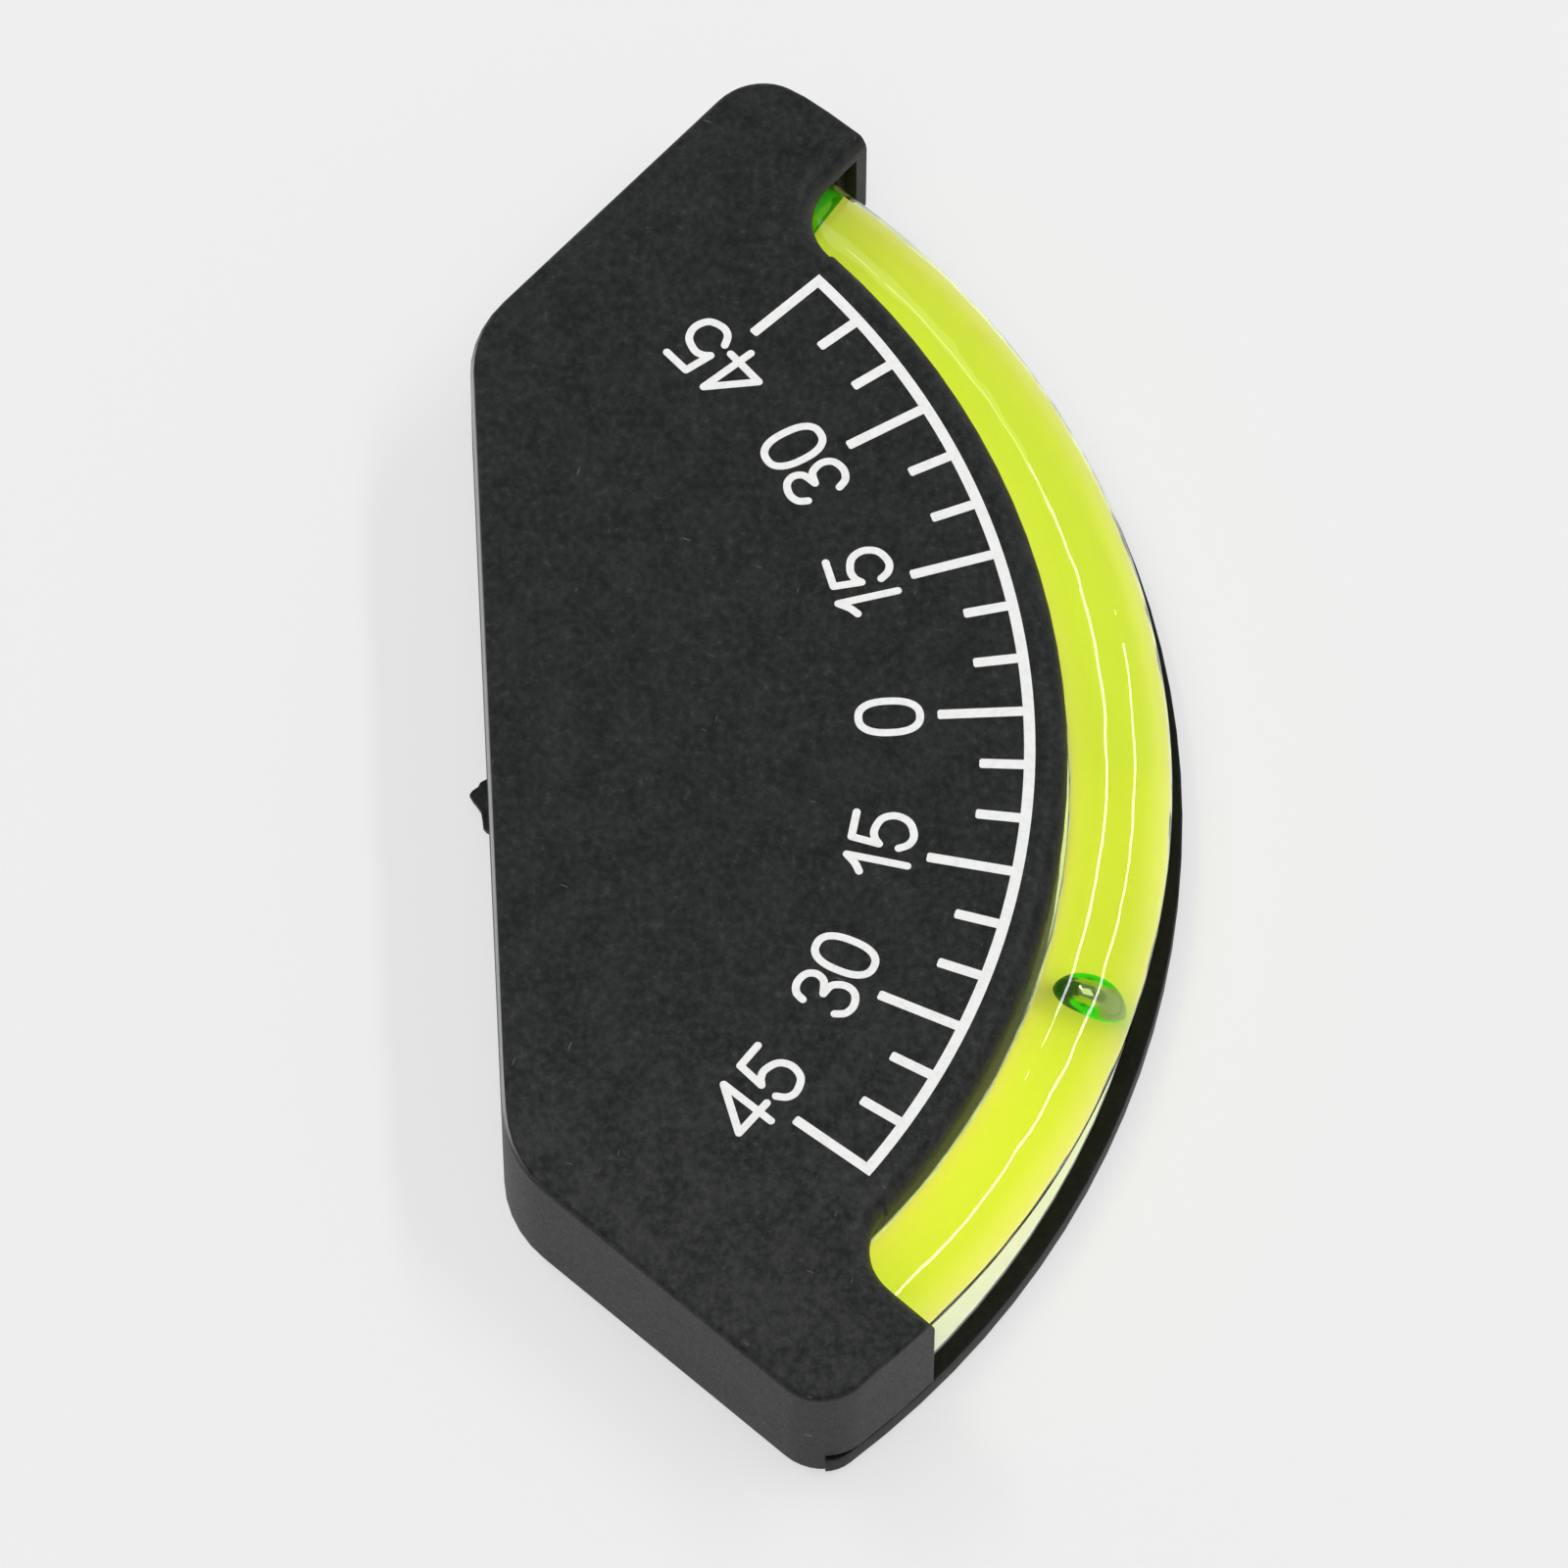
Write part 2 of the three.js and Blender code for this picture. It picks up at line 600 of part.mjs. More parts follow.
// Ball and liquid
const ballShift = (VIAL_BORE - BALL_DIAMETER) / 2 - BALL_WALL_GAP;
const ballArcRadius = VIAL_ARC_RADIUS + ballShift * Math.sin(BALL_LEAN_ANGLE * DEGREE);
const ballZ = VIAL_AXIS_Z - ballShift * Math.cos(BALL_LEAN_ANGLE * DEGREE);
const ballPlace = polar(ballArcRadius, BALL_REST_ANGLE, VIAL_CENTRE);

function dampingFluid() {
  const end = VIAL_HALF_ANGLE - spanAngle(PLUG_DEPTH + FLUID_GAP);
  const rod = {
    radius: VIAL_BORE / 2 - FLUID_GAP,
    from: -end,
    to: end,
    sides: FLUID_SIDES,
    steps: FLUID_STEPS,
  };
  const pocket = new THREE.SphereGeometry(BALL_DIAMETER / 2 + FLUID_GAP, FLUID_SIDES, FLUID_SIDES / 2);
  pocket.translate(ballPlace.x, ballPlace.y, ballZ);
  return geometryOf(solidOf(arcRod(rod)).subtract(solidOf(pocket)));
}

// Plug pushed into the bore, turned about its length.
function plugGeometry() {
  const radius = VIAL_BORE / 2 - SEAT_GAP;
  const socket = PLUG_SOCKET_DIAMETER / 2;
  const profile = [
    new THREE.Vector2(0, -PLUG_DEPTH),
    new THREE.Vector2(radius - PLUG_CHAMFER, -PLUG_DEPTH),
    new THREE.Vector2(radius, -PLUG_DEPTH + PLUG_CHAMFER),
    new THREE.Vector2(radius, 0),
    new THREE.Vector2(socket, 0),
    new THREE.Vector2(socket, -PLUG_SOCKET_DEPTH),
    new THREE.Vector2(0, -PLUG_SOCKET_DEPTH),
  ];
  return geometryOf(solidOf(new THREE.LatheGeometry(profile, LATHE_SIDES)));
}

// Disc of sealing compound over the plug, with a stub in the plug's socket.
function sealGeometry() {
  const radius = SEAL_DIAMETER / 2;
  const stub = PLUG_SOCKET_DIAMETER / 2 - SEAT_GAP;
  const outer = SEAT_GAP + SEAL_THICKNESS;
  const profile = [
    new THREE.Vector2(0, -PLUG_SOCKET_DEPTH + SEAT_GAP),
    new THREE.Vector2(stub, -PLUG_SOCKET_DEPTH + SEAT_GAP),
    new THREE.Vector2(stub, SEAT_GAP),
    new THREE.Vector2(radius, SEAT_GAP),
    new THREE.Vector2(radius, outer - SEAL_EDGE),
    new THREE.Vector2(radius - SEAL_EDGE, outer),
    new THREE.Vector2(0, outer),
  ];
  return geometryOf(solidOf(new THREE.LatheGeometry(profile, LATHE_SIDES)));
}

// Materials
const blackPlastic = { color: 0x2b302f, roughness: 0.62, metalness: 0 };
const finishes = {
  front_housing: blackPlastic,
  back_plate: blackPlastic,
  vial_tube: { color: 0xe9f7d6, roughness: 0.04, metalness: 0, transparent: true, opacity: 0.35 },
  indicator_ball: { color: 0xc9ccc8, roughness: 0.12, metalness: 1 },
  damping_fluid: { color: 0xd6f23a, roughness: 0.05, metalness: 0, transparent: true, opacity: 0.8 },
  vial_plug: { color: 0x4d9a12, roughness: 0.4, metalness: 0 },
  plug_seal: { color: 0x20241c, roughness: 0.5, metalness: 0 },
  reflector_strip: { color: 0xf4fae4, roughness: 0.6, metalness: 0 },
  adhesive_pad: { color: 0xe8e6de, roughness: 0.95, metalness: 0 },
  pad_liner: { color: 0xb23a2e, roughness: 0.35, metalness: 0 },
};

function mesh(name, geometry, finish) {
  const item = new THREE.Mesh(geometry, new THREE.MeshStandardMaterial(finishes[finish]));
  item.name = name;
  return item;
}

// Assembly, about the centre of the dial's arc
const dial = new THREE.Group();
dial.position.set(0, ARC_CENTRE_Y, 0);
dial.add(mesh('front_housing', geometryOf(frontHousing()), 'front_housing'));
dial.add(mesh('back_plate', geometryOf(backPlate()), 'back_plate'));
dial.add(mesh('reflector_strip', reflectorStrip(), 'reflector_strip'));

const vial = {
  radius: VIAL_DIAMETER / 2,
  bore: VIAL_BORE / 2,
  from: -VIAL_HALF_ANGLE,
  to: VIAL_HALF_ANGLE,
  sides: VIAL_SIDES,
  steps: VIAL_STEPS,
};
dial.add(mesh('vial_tube', geometryOf(solidOf(arcRod(vial))), 'vial_tube'));
dial.add(mesh('damping_fluid', dampingFluid(), 'damping_fluid'));

const sphere = new THREE.SphereGeometry(BALL_DIAMETER / 2, BALL_SIDES, BALL_RINGS);
const ball = mesh('indicator_ball', geometryOf(solidOf(sphere)), 'indicator_ball');
ball.position.set(ballPlace.x, ballPlace.y, ballZ);
dial.add(ball);

for (const [word, side] of [['left', -1], ['right', 1]]) {
  const end = new THREE.Group();
  const place = polar(VIAL_ARC_RADIUS, side * VIAL_HALF_ANGLE, VIAL_CENTRE);
  end.position.set(place.x, place.y, VIAL_AXIS_Z);
  end.rotation.z = side * (VIAL_HALF_ANGLE - 90) * DEGREE;
  end.add(mesh(`vial_plug_${word}`, plugGeometry(), 'vial_plug'));
  end.add(mesh(`plug_seal_${word}`, sealGeometry(), 'plug_seal'));
  dial.add(end);

  const pad = new THREE.Group();
  pad.position.set(side * padX, padY, 0);
  const foam = mesh(`adhesive_pad_${word}`, layer(PAD_THICKNESS), 'adhesive_pad');
  foam.position.z = LINER_THICKNESS;
  pad.add(foam);
  pad.add(mesh(`pad_liner_${word}`, layer(LINER_THICKNESS), 'pad_liner'));
  dial.add(pad);
}

const inclinometer = new THREE.Group();
inclinometer.add(dial);

export default inclinometer;
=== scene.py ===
"""Dresses the ball inclinometer: moulded housing, curved vial, steel ball, print and pads.

The part's own frame has +X right and +Y up as the dial is read, and +Z out of its face. Sizes in
the sub-assemblies are millimetres, which the mesh builders turn into metres. Places and sizes in
the finishes and in the studio are metres.
"""
from __future__ import annotations

import logging
import math
from dataclasses import dataclass, field
from enum import Enum, IntEnum
from typing import Sequence

import bpy
from mathutils import Euler, Matrix, Vector


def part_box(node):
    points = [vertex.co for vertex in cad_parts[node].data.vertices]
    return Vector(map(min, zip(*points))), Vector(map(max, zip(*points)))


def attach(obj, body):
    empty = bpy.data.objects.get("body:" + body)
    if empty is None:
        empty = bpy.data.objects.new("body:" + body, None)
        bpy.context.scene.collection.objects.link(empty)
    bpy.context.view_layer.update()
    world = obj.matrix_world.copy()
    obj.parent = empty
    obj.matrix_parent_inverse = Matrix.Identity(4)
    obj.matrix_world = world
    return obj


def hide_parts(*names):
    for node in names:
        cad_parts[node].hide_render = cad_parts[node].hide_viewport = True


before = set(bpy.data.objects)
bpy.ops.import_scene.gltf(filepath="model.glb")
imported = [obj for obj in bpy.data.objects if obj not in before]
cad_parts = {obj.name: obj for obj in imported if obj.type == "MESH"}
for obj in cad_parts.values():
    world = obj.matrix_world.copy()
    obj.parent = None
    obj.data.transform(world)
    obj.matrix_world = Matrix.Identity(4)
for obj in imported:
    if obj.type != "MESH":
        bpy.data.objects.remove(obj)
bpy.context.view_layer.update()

LOG = logging.getLogger("inclinometer")
MM = 0.001
WELD_GAP = 2e-6
FLAT_FACE_LEAD = 100
PLASTIC_IOR = 1.45
Point = tuple[float, float]
Span = tuple[float, float]
Place = tuple[float, float, float]
Colour = tuple[float, float, float]
Sockets = dict[str, bpy.types.NodeSocket]


class Body(Enum):
    """The two bodies that pieces ride on."""

    HOUSING = "housing"
    BALL = "ball"


class TubeSkin(IntEnum):
    """Material slots of the tube."""

    WALL = 0
    BORE = 1
    CEMENT = 2
    RIM = 3
    PLUG = 4


class LiquidSkin(IntEnum):
    """Material slots of the liquid."""

    SIDE = 0
    END = 1


# Layout on the dial


@dataclass(frozen=True)
class Dial:
    """Polar layout about the centre of an arc.

    An angle is zero at the lowest point of the arc and grows towards -X.
    """

    centre_y: float = 42.175
    face_z: float = 12.1

    def at(self, radius: float, degrees: float, z: float) -> Vector:
        """Places a point given by radius, angle and height.

        Args:
            radius: distance from the arc's centre, in mm.
            degrees: angle along the arc.
            z: height above the back, in mm.

        Returns:
            The point in metres.
        """
        turn = math.radians(degrees)
        return Vector((-radius * math.sin(turn), self.centre_y - radius * math.cos(turn), z)) * MM

    def local(self, degrees: float, base: float, spot: Point, z: float) -> Vector:
        """Places a point in the upright axes of a numeral.

        Args:
            degrees: angle of the numeral along the arc.
            base: radius of the numeral's own origin, in mm.
            spot: offsets to the reader's right and towards the arc's centre, in mm.
            z: height above the back, in mm.

        Returns:
            The point in metres.
        """
        turn = math.radians(degrees)
        out = Vector((-math.sin(turn), -math.cos(turn), 0.0))
        right = Vector((math.cos(turn), -math.sin(turn), 0.0))
        centre = Vector((0.0, self.centre_y, z))
        return (centre + out * (base - spot[1]) + right * spot[0]) * MM


DIAL = Dial()
VIAL = Dial(centre_y=38.255)


# Patterns and ramps


@dataclass(frozen=True)
class Noise:
    """A cloudy pattern: features per metre, octaves, and weight of the fine ones."""

    scale: float = 1.0
    detail: float = 2.0
    rough: float = 0.5


@dataclass(frozen=True)
class Ramp:
    """A smooth change: the span of the old value, then the levels at its two ends."""

    low: float
    high: float
    new_low: float = 0.0
    new_high: float = 1.0


# Shader graph helper


def opaque(colour: object) -> object:
    """Adds full opacity to a plain colour and leaves anything else as it is."""
    plain = isinstance(colour, tuple) and len(colour) == 3
    return (*colour, 1.0) if plain else colour


class Graph:
    """A thin layer over a node tree that adds, places and joins nodes."""

    COLUMNS = 8
    COLUMN_WIDTH = 220.0
    ROW_HEIGHT = 240.0

    def __init__(self, tree: bpy.types.NodeTree) -> None:
        """Keeps the tree and starts the layout counter."""
        self.tree = tree
        self.count = 0

    def add(self, kind: str, **settings: object) -> bpy.types.Node:
        """Adds a node and sets its properties.

        Args:
            kind: Blender's type name of the node.
            **settings: properties of the node.

        Returns:
            The new node.
        """
        node = self.tree.nodes.new(kind)
        row, column = divmod(self.count, self.COLUMNS)
        node.location = (self.COLUMN_WIDTH * column, -self.ROW_HEIGHT * row)
        self.count += 1
        for key, value in settings.items():
            setattr(node, key, value)
        return node

    def join(self, source: bpy.types.NodeSocket, target: bpy.types.NodeSocket) -> None:
        """Links one socket to another."""
        self.tree.links.new(source, target)

    def feed(self, target: bpy.types.NodeSocket, value: object) -> None:
        """Feeds a socket from a link or a plain value.

        Args:
            target: the input to feed.
            value: another socket, or a number or colour.
        """
        if isinstance(value, bpy.types.NodeSocket):
            self.join(value, target)
        else:
            target.default_value = value

    def spot(self) -> bpy.types.NodeSocket:
        """Gives the place on the surface, in metres."""
        return self.add("ShaderNodeTexCoord").outputs["Object"]

    def split(self, vector: bpy.types.NodeSocket) -> bpy.types.NodeOutputs:
        """Splits a vector into its three numbers.

        Args:
            vector: the vector.

        Returns:
            Outputs named X, Y and Z.
        """
        node = self.add("ShaderNodeSeparateXYZ")
        self.join(vector, node.inputs[0])
        return node.outputs

    def maths(self, operation: str, *values: object, clamp: bool = False) -> bpy.types.NodeSocket:
        """Adds a Math node.

        Args:
            operation: the Math node's operation.
            *values: sockets or numbers for its inputs.
            clamp: whether the result is kept between 0 and 1.

        Returns:
            The node's output.
        """
        node = self.add("ShaderNodeMath", operation=operation, use_clamp=clamp)
        for target, value in zip(node.inputs, values):
            self.feed(target, value)
        return node.outputs[0]

    def ranged(self, value: object, ramp: Ramp) -> bpy.types.NodeSocket:
        """Maps a value smoothly from one range to another.

        Args:
            value: socket or number to map.
            ramp: the two ranges.

        Returns:
            The mapped value.
        """
        node = self.add("ShaderNodeMapRange", interpolation_type="SMOOTHSTEP")
        entries = (value, ramp.low, ramp.high, ramp.new_low, ramp.new_high)
        for target, entry in zip(node.inputs, entries):
            self.feed(target, entry)
        return node.outputs[0]

    def tint(self, amount: object, first: object, second: object) -> bpy.types.NodeSocket:
        """Mixes two colours.

        Args:
            amount: 0 for the first colour, 1 for the second.
            first: socket or colour.
            second: socket or colour.

        Returns:
            The mixed colour.
        """
        node = self.add("ShaderNodeMix", data_type="RGBA", clamp_factor=True)
        factor, a, b = (node.inputs[k] for k in (0, 6, 7))
        self.feed(factor, amount)
        self.feed(a, opaque(first))
        self.feed(b, opaque(second))
        return node.outputs[2]

    def noise(
        self, vector: bpy.types.NodeSocket, pattern: Noise, scale: object = None
    ) -> bpy.types.NodeSocket:
        """Adds a noise texture.

        Args:
            vector: coordinates.
            pattern: the kind of noise.
            scale: socket or number that stands in for the pattern's own scale.

        Returns:
            The noise value.
        """
        node = self.add("ShaderNodeTexNoise")
        self.join(vector, node.inputs["Vector"])
        self.feed(node.inputs["Scale"], pattern.scale if scale is None else scale)
        node.inputs["Detail"].default_value = pattern.detail
        node.inputs["Roughness"].default_value = pattern.rough
        return node.outputs[0]

    def marks(
        self, vector: bpy.types.NodeSocket, scale: object, share: object, sizes: Span
    ) -> bpy.types.NodeSocket:
        """Marks the middle of a few of the cells of a cell pattern.

        Args:
            vector: coordinates.
            scale: cells to each unit of the coordinates.
            share: how many of the cells are marked, from 0 to 1.
            sizes: size of the smallest mark in cells, and how much more the largest has.

        Returns:
            The mask of the marks.
        """
        cells = self.add("ShaderNodeTexVoronoi", feature="F1")
        self.join(vector, cells.inputs["Vector"])
        self.feed(cells.inputs["Scale"], scale)
        picked = self.add("ShaderNodeSeparateColor")
        self.join(cells.outputs["Color"], picked.inputs[0])
        few = self.maths("LESS_THAN", picked.outputs[0], share)
        size = self.maths("MULTIPLY_ADD", picked.outputs[1], sizes[1], sizes[0])
        close = self.maths("LESS_THAN", cells.outputs["Distance"], size)
        return self.maths("MULTIPLY", few, close)

    def bump(self, height: object, strength: float, distance: float) -> bpy.types.NodeSocket:
        """Turns a height into a normal.

        Args:
            height: socket with the height.
            strength: how much of it shows.
            distance: metres that a height of 1 stands for.

        Returns:
            The bent normal.
        """
        node = self.add("ShaderNodeBump")
        node.inputs["Strength"].default_value = strength
        node.inputs["Distance"].default_value = distance
        self.feed(node.inputs["Height"], height)
        return node.outputs[0]

    def plain(self, kind: str, colour: object) -> bpy.types.NodeSocket:
        """Adds a simple shader of one colour.

        Args:
            kind: Blender's type name of the shader.
            colour: socket or colour.

        Returns:
            The shader.
        """
        node = self.add(kind)
        self.feed(node.inputs[0], opaque(colour))
        return node.outputs[0]

    def layer(
        self, amount: object, under: bpy.types.NodeSocket, over: bpy.types.NodeSocket
    ) -> bpy.types.NodeSocket:
        """Mixes two shaders.

        Args:
            amount: 0 for the first shader, 1 for the second.
            under: the first shader.
            over: the second shader.

        Returns:
            The mixed shader.
        """
        node = self.add("ShaderNodeMixShader")
        for target, value in zip(node.inputs, (amount, under, over)):
            self.feed(target, value)
        return node.outputs[0]

    def group(self, effect: "SurfaceEffect", **values: object) -> bpy.types.NodeOutputs:
        """Places a shared surface effect.

        Args:
            effect: the effect to place.
            **values: values or sockets for its inputs, with _ for a blank.

        Returns:
            The group's outputs.
        """
        node = self.add("ShaderNodeGroup")
        node.node_tree = effect.tree()
        for name, value in values.items():
            self.feed(node.inputs[name.replace("_", " ")], value)
        return node.outputs


# Shared surface effects


@dataclass(frozen=True)
class SurfaceEffect:
    """A shader node group that is built once and shared by several finishes."""

    name: str = ""
    inputs: tuple[tuple[str, float], ...] = ()
    outputs: tuple[str, ...] = ()

    def tree(self) -> bpy.types.NodeTree:
        """Finds the node group, or builds it the first time.

        Returns:
            The group's node tree.
        """
        found = bpy.data.node_groups.get(self.name)
        if found is not None:
            return found
        tree = bpy.data.node_groups.new(self.name, "ShaderNodeTree")
        for label, value in self.inputs:
            socket = tree.interface.new_socket(label, in_out="INPUT", socket_type="NodeSocketFloat")
            socket.default_value = value
        for label in self.outputs:
            tree.interface.new_socket(label, in_out="OUTPUT", socket_type="NodeSocketFloat")
        graph = Graph(tree)
        entry = graph.add("NodeGroupInput").outputs
        leave = graph.add("NodeGroupOutput").inputs
        for label, value in self.wire(graph, entry).items():
            graph.join(value, leave[label])
        return tree

    def wire(self, graph: Graph, entry: bpy.types.NodeOutputs) -> Sockets:
        """Builds the inside of the group; each effect has its own.

        Args:
            graph: the group's graph.
            entry: the group's inputs, as sockets that can be joined.

        Returns:
            The socket that feeds each output.
        """
        raise NotImplementedError


@dataclass(frozen=True)
class MouldGrain(SurfaceEffect):
    """The fine spark-eroded texture that a mould leaves, and slow clouds of flowing material."""

    name: str = "mould_grain"
    inputs: tuple[tuple[str, float], ...] = (("Grains per Metre", 5200.0), ("Flow per Metre", 60.0))
    outputs: tuple[str, ...] = ("Height", "Shade", "Flow")
    crests: Noise = Noise(detail=3.0, rough=0.62)
    crest_height: float = 0.75
    crest_shade: Ramp = Ramp(0.3, 0.72)
    pits_per_grain: float = 0.42
    pit_blur: float = 0.6
    pit_depth: float = 0.7
    flow: Noise = Noise(detail=4.0, rough=0.6)
    flow_shade: Ramp = Ramp(0.32, 0.7)

    def wire(self, graph: Graph, entry: bpy.types.NodeOutputs) -> Sockets:
        """Builds pits, crests and clouds.

        Args:
            graph: the group's graph.
            entry: the group's inputs, as sockets that can be joined.

        Returns:
            The socket that feeds each output.
        """
        grains, flows = entry[0], entry[1]
        spot = graph.spot()
        fine = graph.noise(spot, self.crests, grains)
        cells = graph.add("ShaderNodeTexVoronoi", feature="SMOOTH_F1")
        graph.join(spot, cells.inputs["Vector"])
        graph.join(graph.maths("MULTIPLY", grains, self.pits_per_grain), cells.inputs["Scale"])
        cells.inputs["Smoothness"].default_value = self.pit_blur
        pits = graph.maths("MULTIPLY", cells.outputs["Distance"], self.pit_depth)
        return {
            "Height": graph.maths("ADD", graph.maths("MULTIPLY", fine, self.crest_height), pits),
            "Shade": graph.ranged(fine, self.crest_shade),
            "Flow": graph.ranged(graph.noise(spot, self.flow, flows), self.flow_shade),
        }


@dataclass(frozen=True)
class EdgeWear(SurfaceEffect):
    """Rubbed edges, found by how far a rounded normal leans from the true one."""

    name: str = "edge_wear"
    inputs: tuple[tuple[str, float], ...] = (("Width", 0.0005), ("Patches per Metre", 240.0))
    outputs: tuple[str, ...] = ("Mask",)
    lean: Ramp = Ramp(0.015, 0.2)
    patches: Noise = Noise(detail=5.0, rough=0.7)
    patch_cover: Ramp = Ramp(0.4, 0.66)
    samples: int = 4

    def wire(self, graph: Graph, entry: bpy.types.NodeOutputs) -> Sockets:
        """Builds the edge mask and breaks it up into patches.

        Args:
            graph: the group's graph.
            entry: the group's inputs, as sockets that can be joined.

        Returns:
            The socket that feeds each output.
        """
        width, per_metre = entry[0], entry[1]
        rounded = graph.add("ShaderNodeBevel", samples=self.samples)
        graph.join(width, rounded.inputs["Radius"])
        true = graph.add("ShaderNodeNewGeometry").outputs["Normal"]
        dot = graph.add("ShaderNodeVectorMath", operation="DOT_PRODUCT")
        graph.join(rounded.outputs[0], dot.inputs[0])
        graph.join(true, dot.inputs[1])
        edge = graph.ranged(graph.maths("SUBTRACT", 1.0, dot.outputs["Value"]), self.lean)
        cloud = graph.noise(graph.spot(), self.patches, per_metre)
        patches = graph.ranged(cloud, self.patch_cover)
        return {"Mask": graph.maths("MULTIPLY", edge, patches, clamp=True)}


@dataclass(frozen=True)
class HairScratches(SurfaceEffect):
    """Short fine scratches and fibres, one in a few of the cells of a stretched pattern."""

    name: str = "hair_scratches"
    inputs: tuple[tuple[str, float], ...] = (("Share", 0.1),)
    outputs: tuple[str, ...] = ("Mask",)
    turns: Span = (0.35, -1.1)
    cells_per_metre: tuple[Place, Place] = ((420.0, 2600.0, 1300.0), (520.0, 3000.0, 1300.0))
    sizes: Span = (0.06, 0.14)

    def wire(self, graph: Graph, entry: bpy.types.NodeOutputs) -> Sockets:
        """Builds two sets of short strokes that lie across each other.

        Args:
            graph: the group's graph.
            entry: the group's inputs, as sockets that can be joined.

        Returns:
            The socket that feeds each output.
        """
        spot = graph.spot()
        masks = []
        for turn, stretch in zip(self.turns, self.cells_per_metre):
            swing = graph.add("ShaderNodeVectorRotate", rotation_type="Z_AXIS")
            swing.inputs["Angle"].default_value = turn
            graph.join(spot, swing.inputs["Vector"])
            lay = graph.add("ShaderNodeMapping")
            lay.inputs["Scale"].default_value = stretch
            graph.join(swing.outputs[0], lay.inputs[0])
            masks.append(graph.marks(lay.outputs[0], 1.0, entry[0], self.sizes))
        return {"Mask": graph.maths("MAXIMUM", *masks)}


@dataclass(frozen=True)
class DustSpecks(SurfaceEffect):
    """A few pale round specks of dust that lie on a surface."""

    name: str = "dust_specks"
    inputs: tuple[tuple[str, float], ...] = (("Specks per Metre", 420.0), ("Share", 0.12))
    outputs: tuple[str, ...] = ("Mask",)
    sizes: Span = (0.02, 0.05)

    def wire(self, graph: Graph, entry: bpy.types.NodeOutputs) -> Sockets:
        """Builds the specks in a few of the cells of a cell pattern.

        Args:
            graph: the group's graph.
            entry: the group's inputs, as sockets that can be joined.

        Returns:
            The socket that feeds each output.
        """
        return {"Mask": graph.marks(graph.spot(), entry[0], entry[1], self.sizes)}


GRAIN = MouldGrain()
WEAR = EdgeWear()
DUST = DustSpecks()
LINT = HairScratches()


# Finishes


@dataclass(frozen=True)
class Finish:
    """A named material; each finish wires its own nodes."""

    name: str

    def material(self) -> bpy.types.Material:
        """Finds the material, or builds it the first time.

        Returns:
            The material.
        """
        found = bpy.data.materials.get(self.name)
        if found is not None:
            return found
        made = bpy.data.materials.new(self.name)
        made.use_nodes = True
        made.node_tree.nodes.clear()
        graph = Graph(made.node_tree)
        self.wire(graph, graph.add("ShaderNodeOutputMaterial"))
        return made

    def wire(self, graph: Graph, leave: bpy.types.Node) -> None:
        """Builds the material's nodes; each finish has its own.

        Args:
            graph: the material's graph.
            leave: the material's output node.
        """
        raise NotImplementedError

    @staticmethod
    def shader(graph: Graph, leave: bpy.types.Node, **plain: object) -> bpy.types.Node:
        """Adds the Principled shader with its plain values.

        Args:
            graph: the material's graph.
            leave: the material's output node.
            **plain: values for its sockets, with _ for a blank.

        Returns:
            The shader node.
        """
        node = graph.add("ShaderNodeBsdfPrincipled")
        for name, value in plain.items():
            node.inputs[name.replace("_", " ")].default_value = opaque(value)
        graph.join(node.outputs[0], leave.inputs["Surface"])
        return node


